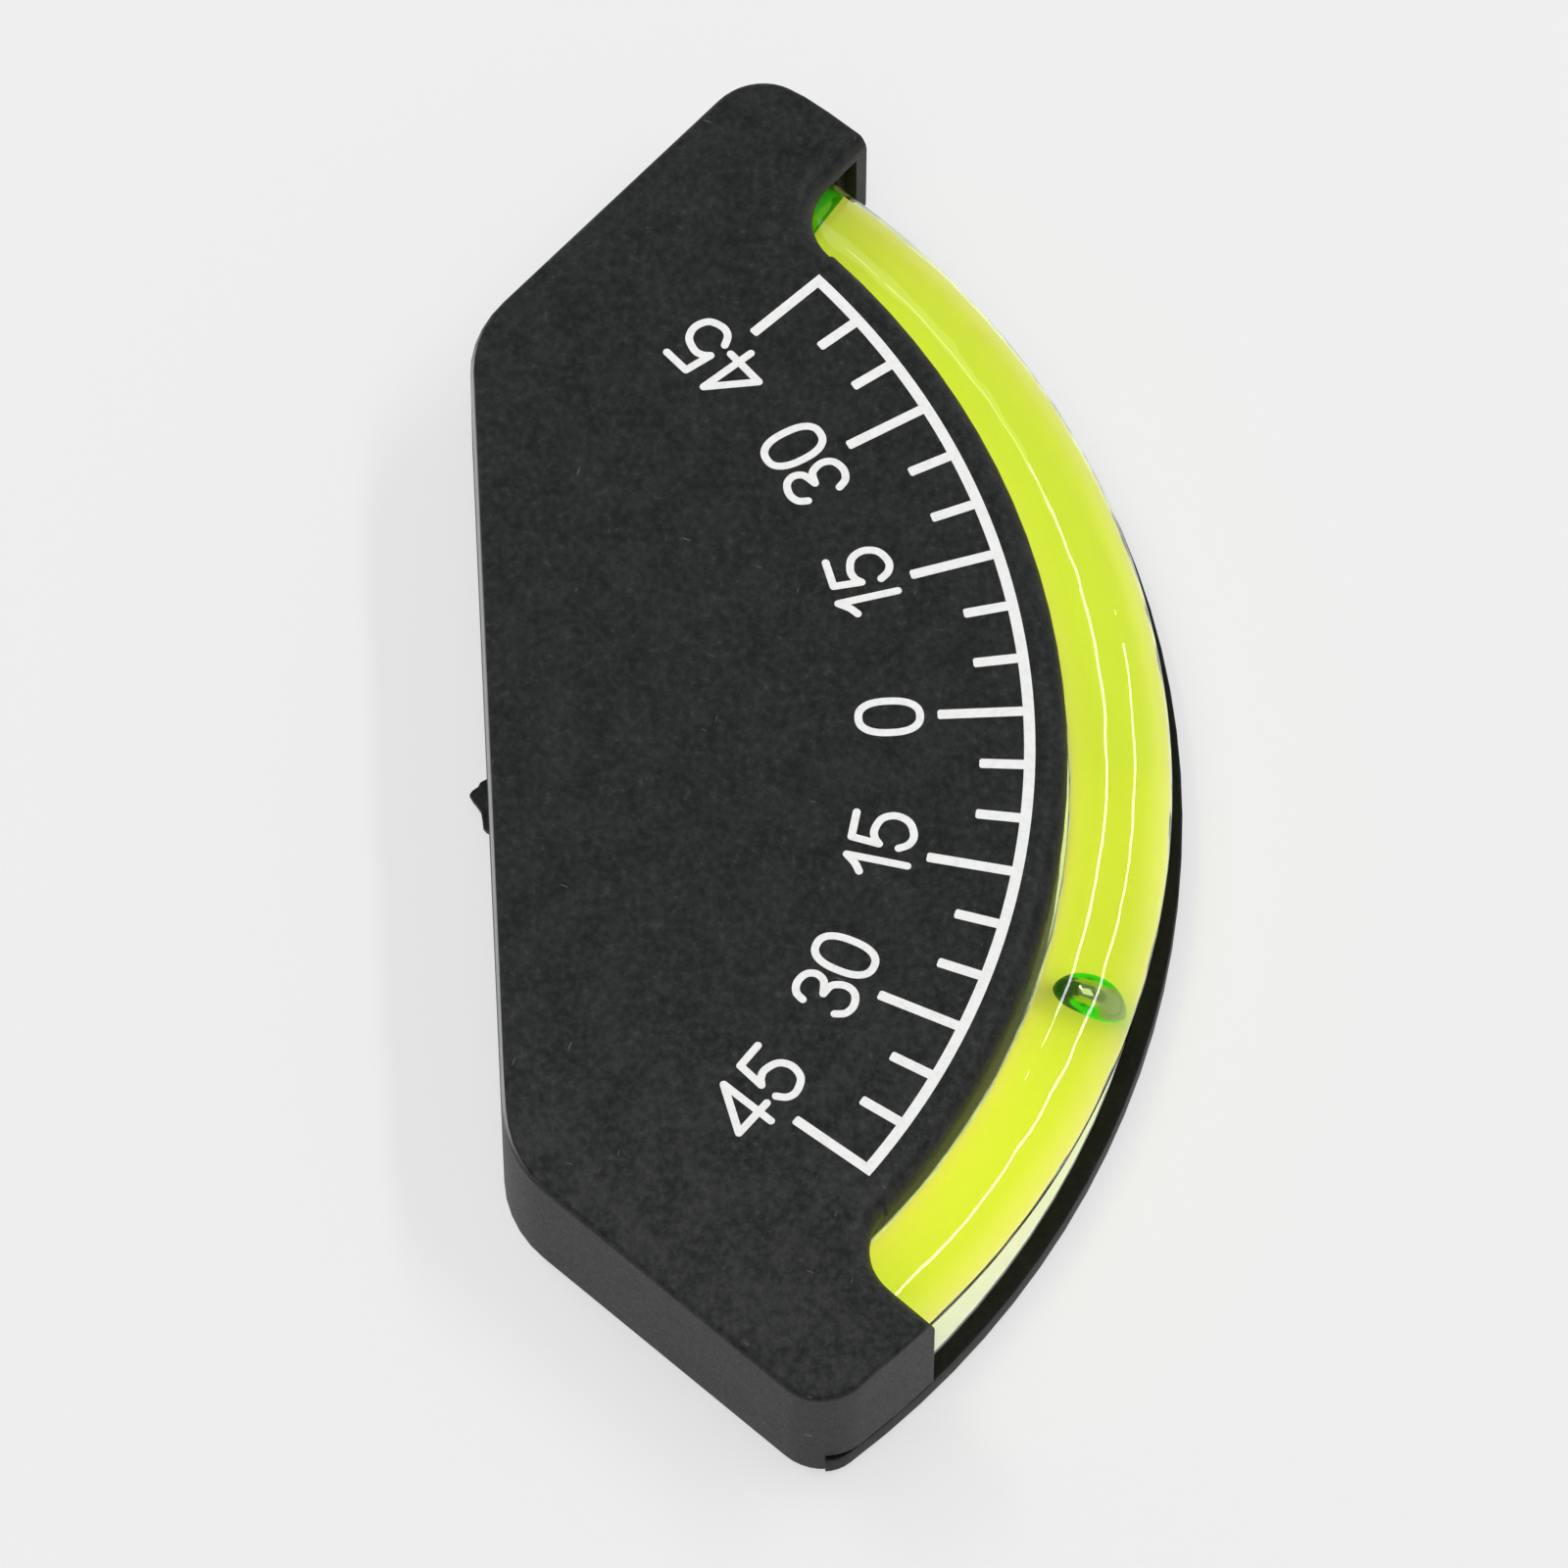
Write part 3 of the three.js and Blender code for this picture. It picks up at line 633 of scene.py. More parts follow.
@dataclass(frozen=True)
class MouldedPlastic(Finish):
    """Black injection-moulded plastic with a fine matte grain and rubbed edges."""

    name: str = "black_moulded_plastic"
    dark: Colour = (0.0012, 0.0022, 0.0022)
    light: Colour = (0.024, 0.026, 0.0255)
    fleck: Colour = (0.055, 0.057, 0.054)
    rubbed: Colour = (0.06, 0.062, 0.06)
    # Lighter tone for upright walls, and painted light for the underside, which lies in the floor's
    # shade.
    side: Colour = (0.029, 0.028, 0.029)
    # Pale colour of a painted highlight on the rounded top edge of the long +Y side.
    painted_edge_highlight: Colour = (0.55, 0.55, 0.53)
    dust: Colour = (0.34, 0.35, 0.33)
    gloss: float = 0.3
    roughness: Span = (0.46, 0.6)
    grains_per_metre: float = 5200.0
    grain_strength: float = 0.35
    grain_depth: float = 0.00003
    clumps: Noise = Noise(1500.0, 4.0, 0.75)
    clump_shade: Ramp = Ramp(0.36, 0.64, 0.0, 0.65)
    fleck_cover: Ramp = Ramp(0.6, 0.7, 0.0, 0.6)
    patches: Noise = Noise(330.0, 3.0, 0.6)
    patch_shade: Ramp = Ramp(0.35, 0.65)
    patch_share: float = 0.35
    upright: Ramp = Ramp(0.15, 0.75, 0.8, 0.0)
    underside: Ramp = Ramp(-0.9, -0.5, 0.6, 0.0)
    wear_width: float = 0.00035
    wear_patches: float = 260.0
    wear_cover: float = 0.55
    wear_polish: float = 0.12
    long_side: Ramp = Ramp(0.5, 0.68)
    top_edge: Ramp = Ramp(0.0109, 0.0115, 0.0, 0.85)
    # Toward the -X end the face is tinted lighter in mottled patches, with more specks and lint.
    minus_x_ramp: Ramp = Ramp(-0.056, 0.0)
    minus_x_lightening_cover: Ramp = Ramp(0.0, 1.0, 0.35, 0.0)
    speck_share: Ramp = Ramp(0.0, 1.0, 0.1, 0.02)
    specks_per_metre: float = 620.0
    speck_cover: float = 0.3
    lint_share: float = 0.5
    lint_cover: float = 0.22

    def wire(self, graph: Graph, leave: bpy.types.Node) -> None:
        """Wires the mottled body, its edges, painted light, a lighter -X end, dust, lint and the
        grain.

        Args:
            graph: the material's graph.
            leave: the material's output node.
        """
        shader = self.shader(graph, leave, IOR=PLASTIC_IOR, Specular_IOR_Level=self.gloss)
        grain = graph.group(GRAIN, Grains_per_Metre=self.grains_per_metre)
        wear = graph.group(WEAR, Width=self.wear_width, Patches_per_Metre=self.wear_patches)
        spot = graph.spot()
        lean = graph.split(graph.add("ShaderNodeTexCoord").outputs["Normal"])
        where = graph.split(spot)
        clumps = graph.noise(spot, self.clumps)
        patches = graph.ranged(graph.noise(spot, self.patches), self.patch_shade)
        shade = graph.ranged(clumps, self.clump_shade)
        mottle = graph.maths("MULTIPLY_ADD", patches, self.patch_share, shade)
        # Painted highlight: the top rounding of the long +Y side is tinted pale.
        painted_highlight_mask = graph.maths(
            "MULTIPLY",
            graph.ranged(lean["Y"], self.long_side),
            graph.ranged(where["Z"], self.top_edge),
        )
        # Toward the -X end: a lighter mottled tint, and more dust specks and lint.
        minus_x_weight = graph.ranged(where["X"], self.minus_x_ramp)
        minus_x_lightening = graph.maths("MULTIPLY", graph.ranged(minus_x_weight, self.minus_x_lightening_cover), mottle)
        share = graph.ranged(minus_x_weight, self.speck_share)
        dust = graph.group(DUST, Specks_per_Metre=self.specks_per_metre, Share=share)
        lint = graph.group(LINT, Share=graph.maths("MULTIPLY", share, self.lint_share))
        soil = graph.maths("MULTIPLY", dust["Mask"], self.speck_cover)
        soil = graph.maths("MULTIPLY_ADD", lint["Mask"], self.lint_cover, soil)
        body = graph.tint(mottle, self.dark, self.light)
        for amount, colour in (
            (graph.ranged(clumps, self.fleck_cover), self.fleck),
            # Upright walls are tinted lighter, and the underside gets painted light where the floor
            # shades it.
            (graph.ranged(graph.maths("ABSOLUTE", lean["Z"]), self.upright), self.side),
            (graph.ranged(lean["Z"], self.underside), self.side),
            (graph.maths("MULTIPLY", wear["Mask"], self.wear_cover), self.rubbed),
            (painted_highlight_mask, self.painted_edge_highlight),
            (minus_x_lightening, self.fleck),
            (soil, self.dust),
        ):
            body = graph.tint(amount, body, colour)
        graph.join(body, shader.inputs["Base Color"])
        rough = graph.ranged(grain["Shade"], Ramp(0.0, 1.0, *self.roughness))
        polish = graph.maths("MULTIPLY", wear["Mask"], self.wear_polish)
        graph.join(graph.maths("SUBTRACT", rough, polish), shader.inputs["Roughness"])
        relief = graph.bump(grain["Height"], self.grain_strength, self.grain_depth)
        graph.join(relief, shader.inputs["Normal"])


@dataclass(frozen=True)
class ClearVial(Finish):
    """Clear polished tube wall; lets the lamps through to what lies inside."""

    name: str = "clear_vial"
    tone: Colour = (0.94, 0.98, 0.9)
    index: float = 1.49
    roughness: float = 0.015
    smears: Noise = Noise(140.0, 4.0, 0.6)
    smear_cover: Span = (0.42, 0.7)
    smear: float = 0.06
    waves: Noise = Noise(230.0, 1.0, 0.5)
    wave: float = 0.00012

    def wire(self, graph: Graph, leave: bpy.types.Node) -> None:
        """Wires a glass that is smeared and wavy by a little and lets shadow rays pass.

        Args:
            graph: the material's graph.
            leave: the material's output node.
        """
        shader = self.shader(
            graph,
            leave,
            Base_Color=self.tone,
            IOR=self.index,
            Transmission_Weight=1.0,
            Roughness=self.roughness,
        )
        spot = graph.spot()
        if self.smear:
            cover = Ramp(*self.smear_cover, 0.0, self.smear)
            smear = graph.ranged(graph.noise(spot, self.smears), cover)
            graph.join(graph.maths("ADD", smear, self.roughness), shader.inputs["Roughness"])
        if self.wave:
            swell = graph.noise(spot, self.waves)
            graph.join(graph.bump(swell, 1.0, self.wave), shader.inputs["Normal"])
        shadow = graph.add("ShaderNodeLightPath").outputs["Is Shadow Ray"]
        clear = graph.plain("ShaderNodeBsdfTransparent", self.tone)
        graph.join(graph.layer(shadow, shader.outputs[0], clear), leave.inputs["Surface"])


@dataclass(frozen=True)
class TintedLiquid(Finish):
    """Fluorescent yellow-green liquid: clear dye, with milk and glow on its far side."""

    name: str = "fluorescent_liquid"
    tone: Colour = (0.99, 1.0, 0.9)
    sheen: Colour = (0.01, 0.04, 0.0)
    dye: Colour = (0.87, 0.985, 0.25)
    density: float = 400.0
    milk: Colour = (0.81, 0.69, 0.38)
    darker_milk: Colour = (0.62, 0.57, 0.29)
    milkiness: float = 0.88
    clouds: Noise = Noise(38.0, 3.0, 0.5)
    cloud_shade: Ramp = Ramp(0.38, 0.62, -0.2, 0.2)
    # Painted shade: the milk is darker toward the +X end of the tube.
    painted_shade_along_x: Ramp = Ramp(-0.045, 0.0, 0.05, 0.85)
    glow: Colour = (0.355, 0.255, 0.115)
    unlit: Colour = (0.0, 0.0, 0.0)
    # Colours of a painted reflection, shown on the liquid's far skin only to rays mirrored off the
    # ball.
    painted_far_green: Colour = (0.0, 0.92, 0.0)
    painted_near_dark_green: Colour = (0.002, 0.035, 0.01)
    painted_outer_pale_grey: Colour = (0.42, 0.46, 0.26)
    top_side: Ramp = Ramp(0.0066, 0.0074)
    inner_side: Ramp = Ramp(0.0586, 0.0594, 1.0, 0.0)
    outer_side: Ramp = Ramp(0.0605, 0.061)
    far_along: Ramp = Ramp(0.0022, 0.003)
    window: float = 0.7

    def wire(self, graph: Graph, leave: bpy.types.Node) -> None:
        """Wires the liquid: clear where light enters it, milky and glowing where it leaves.

        Args:
            graph: the material's graph.
            leave: the material's output node.
        """
        shader = self.shader(
            graph,
            leave,
            Base_Color=self.tone,
            IOR=1.0,
            Transmission_Weight=1.0,
            Roughness=0.0,
            Emission_Color=self.sheen,
            Emission_Strength=1.0,
        )
        path = graph.add("ShaderNodeLightPath").outputs
        mirrored = graph.maths("MULTIPLY", path["Is Glossy Ray"], path["Is Reflection Ray"])
        spot = graph.spot()
        where = graph.split(spot)
        above = graph.ranged(where["Z"], self.top_side)
        cloud = graph.ranged(graph.noise(spot, self.clouds), self.cloud_shade)
        # Random clouds of darker milk, plus painted shade that darkens it toward +X.
        cloud = graph.maths("ADD", cloud, graph.ranged(where["X"], self.painted_shade_along_x), clamp=True)
        body = graph.tint(cloud, self.milk, self.darker_milk)
        milk = graph.plain("ShaderNodeBsdfDiffuse", graph.tint(mirrored, body, self.unlit))
        # Rays mirrored off the ball see a glowing painted reflection in place of the milk.
        seen = self.painted_reflection(graph, where, above, path["Ray Length"])
        glow = graph.plain("ShaderNodeEmission", graph.tint(mirrored, self.glow, seen))
        cloudy = graph.add("ShaderNodeAddShader")
        graph.join(milk, cloudy.inputs[0])
        graph.join(glow, cloudy.inputs[1])
        open_top = graph.maths("MULTIPLY", graph.maths("MULTIPLY", mirrored, above), self.window)
        cover = graph.maths("SUBTRACT", self.milkiness, open_top, clamp=True)
        inside = graph.add("ShaderNodeNewGeometry").outputs["Backfacing"]
        amount = graph.maths("MULTIPLY", inside, cover)
        bulk = graph.layer(amount, shader.outputs[0], cloudy.outputs[0])
        clear = graph.plain("ShaderNodeBsdfTransparent", self.tone)
        graph.join(graph.layer(path["Is Shadow Ray"], bulk, clear), leave.inputs["Surface"])
        dye = graph.add("ShaderNodeVolumeAbsorption")
        dye.inputs["Color"].default_value = opaque(self.dye)
        dye.inputs["Density"].default_value = self.density
        graph.join(dye.outputs[0], leave.inputs["Volume"])

    def painted_reflection(
        self,
        graph: Graph,
        where: bpy.types.NodeOutputs,
        above: bpy.types.NodeSocket,
        length: bpy.types.NodeSocket,
    ) -> bpy.types.NodeSocket:
        """Paints the reflection that the steel ball shows: green far along the bore, dark or pale
        nearby.

        Args:
            graph: the material's graph.
            where: X, Y and Z of the place on the liquid's skin.
            above: mask of the skin's upper side.
            length: how far the mirrored ray has come.

        Returns:
            The mirrored colour.
        """
        across = graph.maths("SUBTRACT", where["Y"], VIAL.centre_y * MM)
        square = graph.maths("MULTIPLY", across, across)
        radius = graph.maths("MULTIPLY_ADD", where["X"], where["X"], square)
        radius = graph.maths("SQRT", radius)
        dark = graph.maths("MAXIMUM", graph.ranged(radius, self.inner_side), above)
        near = graph.tint(dark, self.painted_far_green, self.painted_near_dark_green)
        near = graph.tint(graph.ranged(radius, self.outer_side), near, self.painted_outer_pale_grey)
        return graph.tint(graph.ranged(length, self.far_along), near, self.painted_far_green)


@dataclass(frozen=True)
class PolishedSteel(Finish):
    """Polished ball steel with the faintest smear of the liquid."""

    name: str = "polished_steel"
    tone: Colour = (0.72, 0.74, 0.7)
    shade: Colour = (0.6, 0.63, 0.58)
    smears: Noise = Noise(900.0, 3.0, 0.6)
    roughness: Ramp = Ramp(0.3, 0.7, 0.05, 0.1)
    marks: Noise = Noise(9000.0, 2.0, 0.5)
    mark_strength: float = 0.05
    mark_depth: float = 0.00001

    def wire(self, graph: Graph, leave: bpy.types.Node) -> None:
        """Wires bright steel with fine polish marks.

        Args:
            graph: the material's graph.
            leave: the material's output node.
        """
        shader = self.shader(graph, leave, Metallic=1.0)
        spot = graph.spot()
        cloud = graph.noise(spot, self.smears)
        graph.join(graph.tint(cloud, self.tone, self.shade), shader.inputs["Base Color"])
        graph.join(graph.ranged(cloud, self.roughness), shader.inputs["Roughness"])
        marks = graph.noise(spot, self.marks)
        relief = graph.bump(marks, self.mark_strength, self.mark_depth)
        graph.join(relief, shader.inputs["Normal"])


@dataclass(frozen=True)
class SoftCompound(Finish):
    """A dull material with two tones: rubber, sealant, cement, foam, paper, the white strip."""

    name: str = "soft_compound"
    first: Colour = (0.1, 0.1, 0.1)
    second: Colour = (0.2, 0.2, 0.2)
    roughness: Span = (0.5, 0.7)
    cells_per_metre: float = 3000.0
    clouds_per_metre: float = 220.0
    relief: float = 0.00004
    relief_strength: float = 0.5
    glow: float = 0.0

    def wire(self, graph: Graph, leave: bpy.types.Node) -> None:
        """Wires two-tone clouds over a cellular relief.

        Args:
            graph: the material's graph.
            leave: the material's output node.
        """
        shader = self.shader(graph, leave, IOR=PLASTIC_IOR, Emission_Strength=self.glow)
        grain = graph.group(
            GRAIN, Grains_per_Metre=self.cells_per_metre, Flow_per_Metre=self.clouds_per_metre
        )
        body = graph.tint(grain["Flow"], self.first, self.second)
        graph.join(body, shader.inputs["Base Color"])
        graph.join(body, shader.inputs["Emission Color"])
        rough = graph.ranged(grain["Shade"], Ramp(0.0, 1.0, *self.roughness))
        graph.join(rough, shader.inputs["Roughness"])
        relief = graph.bump(grain["Height"], self.relief_strength, self.relief)
        graph.join(relief, shader.inputs["Normal"])


@dataclass(frozen=True)
class ScaleInk(Finish):
    """White screen-printed ink with soft unevenness."""

    name: str = "white_scale_ink"
    full: Colour = (0.95, 0.95, 0.935)
    thin: Colour = (0.85, 0.865, 0.85)
    glow: float = 0.12
    clouds: Noise = Noise(2600.0, 4.0, 0.65)
    cover: Ramp = Ramp(0.36, 0.56)
    roughness: Ramp = Ramp(0.0, 1.0, 0.62, 0.48)
    grains_per_metre: float = 5200.0
    grain_strength: float = 0.25
    grain_depth: float = 0.00003

    def wire(self, graph: Graph, leave: bpy.types.Node) -> None:
        """Wires ink that covers a little less in places.

        Args:
            graph: the material's graph.
            leave: the material's output node.
        """
        shader = self.shader(graph, leave, IOR=PLASTIC_IOR, Emission_Strength=self.glow)
        cover = graph.ranged(graph.noise(graph.spot(), self.clouds), self.cover)
        body = graph.tint(cover, self.thin, self.full)
        graph.join(body, shader.inputs["Base Color"])
        graph.join(body, shader.inputs["Emission Color"])
        graph.join(graph.ranged(cover, self.roughness), shader.inputs["Roughness"])
        grain = graph.group(GRAIN, Grains_per_Metre=self.grains_per_metre)
        relief = graph.bump(grain["Height"], self.grain_strength, self.grain_depth)
        graph.join(relief, shader.inputs["Normal"])


@dataclass(frozen=True)
class StudioFloor(Finish):
    """A pale floor that keeps the object's shadow and shows pale to camera, metal and glass.

    It can't be seen from below and lets light up to what lies on it, so that the object's
    underside shows.
    """

    name: str = "studio_floor"
    tone: Colour = (0.86, 0.86, 0.87)
    light: Colour = (0.98, 0.98, 0.98)
    share: float = 0.6
    gap: float = 0.003

    def wire(self, graph: Graph, leave: bpy.types.Node) -> None:
        """Wires a matt white surface and a steady share of plain light.

        Args:
            graph: the material's graph.
            leave: the material's output node.
        """
        matt = graph.plain("ShaderNodeBsdfDiffuse", self.tone)
        light = graph.plain("ShaderNodeEmission", self.light)
        path = graph.add("ShaderNodeLightPath").outputs
        seen = graph.maths("MAXIMUM", path["Is Glossy Ray"], path["Is Transmission Ray"])
        seen = graph.maths("MAXIMUM", path["Is Camera Ray"], seen)
        top = graph.layer(graph.maths("MULTIPLY", seen, self.share), matt, light)
        near = graph.maths("LESS_THAN", path["Ray Length"], self.gap)
        near = graph.maths("MULTIPLY", near, path["Is Diffuse Ray"])
        behind = graph.add("ShaderNodeNewGeometry").outputs["Backfacing"]
        gone = graph.plain("ShaderNodeBsdfTransparent", (1.0, 1.0, 1.0))
        whole = graph.layer(graph.maths("MAXIMUM", near, behind), top, gone)
        graph.join(whole, leave.inputs["Surface"])


PLASTIC = MouldedPlastic()
PLATE_PLASTIC = MouldedPlastic(
    name="black_plate_plastic",
    dark=(0.003, 0.0034, 0.003),
    light=(0.007, 0.0076, 0.007),
    fleck=(0.016, 0.017, 0.016),
    # The lighter tone is a painted soft highlight on the plate's upright edge, and painted light on
    # its underside.
    side=(0.05, 0.05, 0.048),
    gloss=0.12,
)
VIAL_WALL = ClearVial()
VIAL_BORE = ClearVial(
    name="wetted_bore", tone=(1.0, 1.0, 1.0), index=1.0, roughness=0.0, smear=0.0, wave=0.0
)
LIQUID = TintedLiquid()
LIQUID_END = TintedLiquid(name="liquid_end", milkiness=0.0)
STEEL = PolishedSteel()
PLUG_RUBBER = SoftCompound(
    name="stained_plug_rubber",
    first=(0.03, 0.42, 0.0),
    second=(0.06, 0.6, 0.01),
    roughness=(0.3, 0.45),
    cells_per_metre=2400.0,
    relief=0.00002,
)
SEALANT = SoftCompound(
    name="dark_sealant",
    first=(0.012, 0.02, 0.012),
    second=(0.03, 0.05, 0.026),
    roughness=(0.32, 0.5),
    cells_per_metre=1600.0,
    relief=0.00005,
)
CEMENT = SoftCompound(
    name="stained_cement",
    first=(0.34, 0.4, 0.05),
    second=(0.5, 0.52, 0.1),
    roughness=(0.25, 0.4),
    cells_per_metre=1800.0,
    relief=0.00002,
)
SAWN_RIM = SoftCompound(
    name="sawn_tube_rim",
    first=(0.42, 0.42, 0.2),
    second=(0.6, 0.58, 0.36),
    roughness=(0.35, 0.55),
    cells_per_metre=3000.0,
    relief=0.00002,
)
WHITE_STRIP = SoftCompound(
    name="white_strip",
    first=(0.93, 0.93, 0.93),
    second=(0.96, 0.96, 0.96),
    roughness=(0.45, 0.6),
    cells_per_metre=2600.0,
    relief=0.00001,
    glow=0.16,
)
PAD_FOAM = SoftCompound(
    name="pad_foam",
    first=(0.74, 0.73, 0.68),
    second=(0.86, 0.85, 0.8),
    roughness=(0.7, 0.9),
    cells_per_metre=2200.0,
    relief=0.00012,
)
LINER_PAPER = SoftCompound(
    name="waxed_liner",
    first=(0.42, 0.03, 0.024),
    second=(0.52, 0.05, 0.035),
    roughness=(0.28, 0.4),
    cells_per_metre=1500.0,
    relief=0.00001,
)
INK = ScaleInk()


# Meshes


@dataclass
class MeshPlan:
    """Corner points and faces of a mesh that is being put together."""

    points: list[Vector] = field(default_factory=list)
    faces: list[tuple[int, ...]] = field(default_factory=list)
    slots: list[int] = field(default_factory=list)

    def ring(self, points: Sequence[Vector]) -> list[int]:
        """Adds a ring of points.

        Args:
            points: the points, in metres.

        Returns:
            Their indices.
        """
        start = len(self.points)
        self.points.extend(points)
        return list(range(start, start + len(points)))

    def skin(self, first: Sequence[int], second: Sequence[int], slot: int = 0) -> None:
        """Joins two closed rings with a band of faces.

        Args:
            first: indices of one ring.
            second: indices of the next ring, in the same turning sense.
            slot: material slot of the band.
        """
        count = len(first)
        for k in range(count):
            after = (k + 1) % count
            self.faces.append((first[k], first[after], second[after], second[k]))
            self.slots.append(slot)

    def cap(self, ring: Sequence[int], slot: int = 0) -> None:
        """Closes a ring with one face, wound as the ring is."""
        self.faces.append(tuple(ring))
        self.slots.append(slot)

    def object(
        self, name: str, finishes: Sequence[Finish], smooth: bool = True
    ) -> bpy.types.Object:
        """Makes the Blender object.

        Args:
            name: its name.
            finishes: finish of each material slot.
            smooth: whether its faces are shaded smooth.

        Returns:
            The object, linked to the scene.
        """
        mesh = bpy.data.meshes.new(name)
        mesh.from_pydata([tuple(p) for p in self.points], [], self.faces)
        for face, slot in zip(mesh.polygons, self.slots):
            face.material_index = slot
            face.use_smooth = smooth
        for finish in finishes:
            mesh.materials.append(finish.material())
        mesh.validate()
        mesh.update()
        made = bpy.data.objects.new(name, mesh)
        bpy.context.scene.collection.objects.link(made)
        return made


def place(
    piece: bpy.types.Object,
    body: Body,
    stands_for: Sequence[str] = (),
) -> bpy.types.Object:
    """Hands a new piece to its body, hides the CAD nodes that it replaces, and reports it.

    Args:
        piece: the new object.
        body: the body that it rides on.
        stands_for: CAD nodes that it replaces.

    Returns:
        The same object.
    """
    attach(piece, body.value)
    if stands_for:
        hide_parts(*stands_for)
    LOG.info("%s: %d faces on %s", piece.name, len(piece.data.polygons), body.value)
    return piece


def shade_by_angle(piece: bpy.types.Object, degrees: float, weld: bool = True) -> None:
    """Smooths a piece's shading except over edges sharper than an angle.

    Args:
        piece: the object.
        degrees: the angle at which an edge stays crisp.
        weld: whether loose triangle corners are joined first.
    """
    if weld:
        join = piece.modifiers.new("join_corners", "WELD")
        join.merge_threshold = WELD_GAP
    name = f"smooth_to_{degrees:g}"
    tree = bpy.data.node_groups.get(name)
    if tree is None:
        tree = bpy.data.node_groups.new(name, "GeometryNodeTree")
        tree.interface.new_socket("Mesh", in_out="INPUT", socket_type="NodeSocketGeometry")
        tree.interface.new_socket("Mesh", in_out="OUTPUT", socket_type="NodeSocketGeometry")
        graph = Graph(tree)
        entry = graph.add("NodeGroupInput")
        faces = graph.add("GeometryNodeSetShadeSmooth", domain="FACE")
        edges = graph.add("GeometryNodeSetShadeSmooth", domain="EDGE")
        edges.inputs["Shade Smooth"].default_value = False
        angle = graph.add("GeometryNodeInputMeshEdgeAngle")
        sharp = graph.add("FunctionNodeCompare", operation="GREATER_THAN", data_type="FLOAT")
        sharp.inputs[1].default_value = math.radians(degrees)
        leave = graph.add("NodeGroupOutput")
        graph.join(entry.outputs[0], faces.inputs["Geometry"])
        graph.join(faces.outputs[0], edges.inputs["Geometry"])
        graph.join(angle.outputs["Unsigned Angle"], sharp.inputs[0])
        graph.join(sharp.outputs[0], edges.inputs["Selection"])
        graph.join(edges.outputs[0], leave.inputs[0])
    smooth = piece.modifiers.new("smooth_shading", "NODES")
    smooth.node_group = tree
    flats = piece.modifiers.new("flat_faces_lead", "WEIGHTED_NORMAL")
    flats.mode = "FACE_AREA"
    flats.weight = FLAT_FACE_LEAD
    flats.keep_sharp = True


def flatten(piece: bpy.types.Object) -> None:
    """Cuts a piece's many-cornered faces into even triangles."""
    fan = piece.modifiers.new("flat_faces", "TRIANGULATE")
    fan.ngon_method = "BEAUTY"


def dress(node: str, finish: Finish, crisp: float) -> None:
    """Gives a carried-over node its finish and smooth shading, and reports it.

    Args:
        node: the node's name.
        finish: its finish.
        crisp: the angle, in degrees, at which its edges stay crisp.
    """
    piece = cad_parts[node]
    piece.data.materials[0] = finish.material()
    shade_by_angle(piece, crisp)
    LOG.info("%s: dressed in %s", node, finish.name)


# Sub-assemblies


@dataclass
class MouldedShell:
    """The housing and back plate, carried over from the frame and dressed."""

    crisp_angle: float = 32.0

    def build(self) -> None:
        """Dresses both mouldings."""
        dress("front_housing", PLASTIC, self.crisp_angle)
        dress("back_plate", PLATE_PLASTIC, self.crisp_angle)


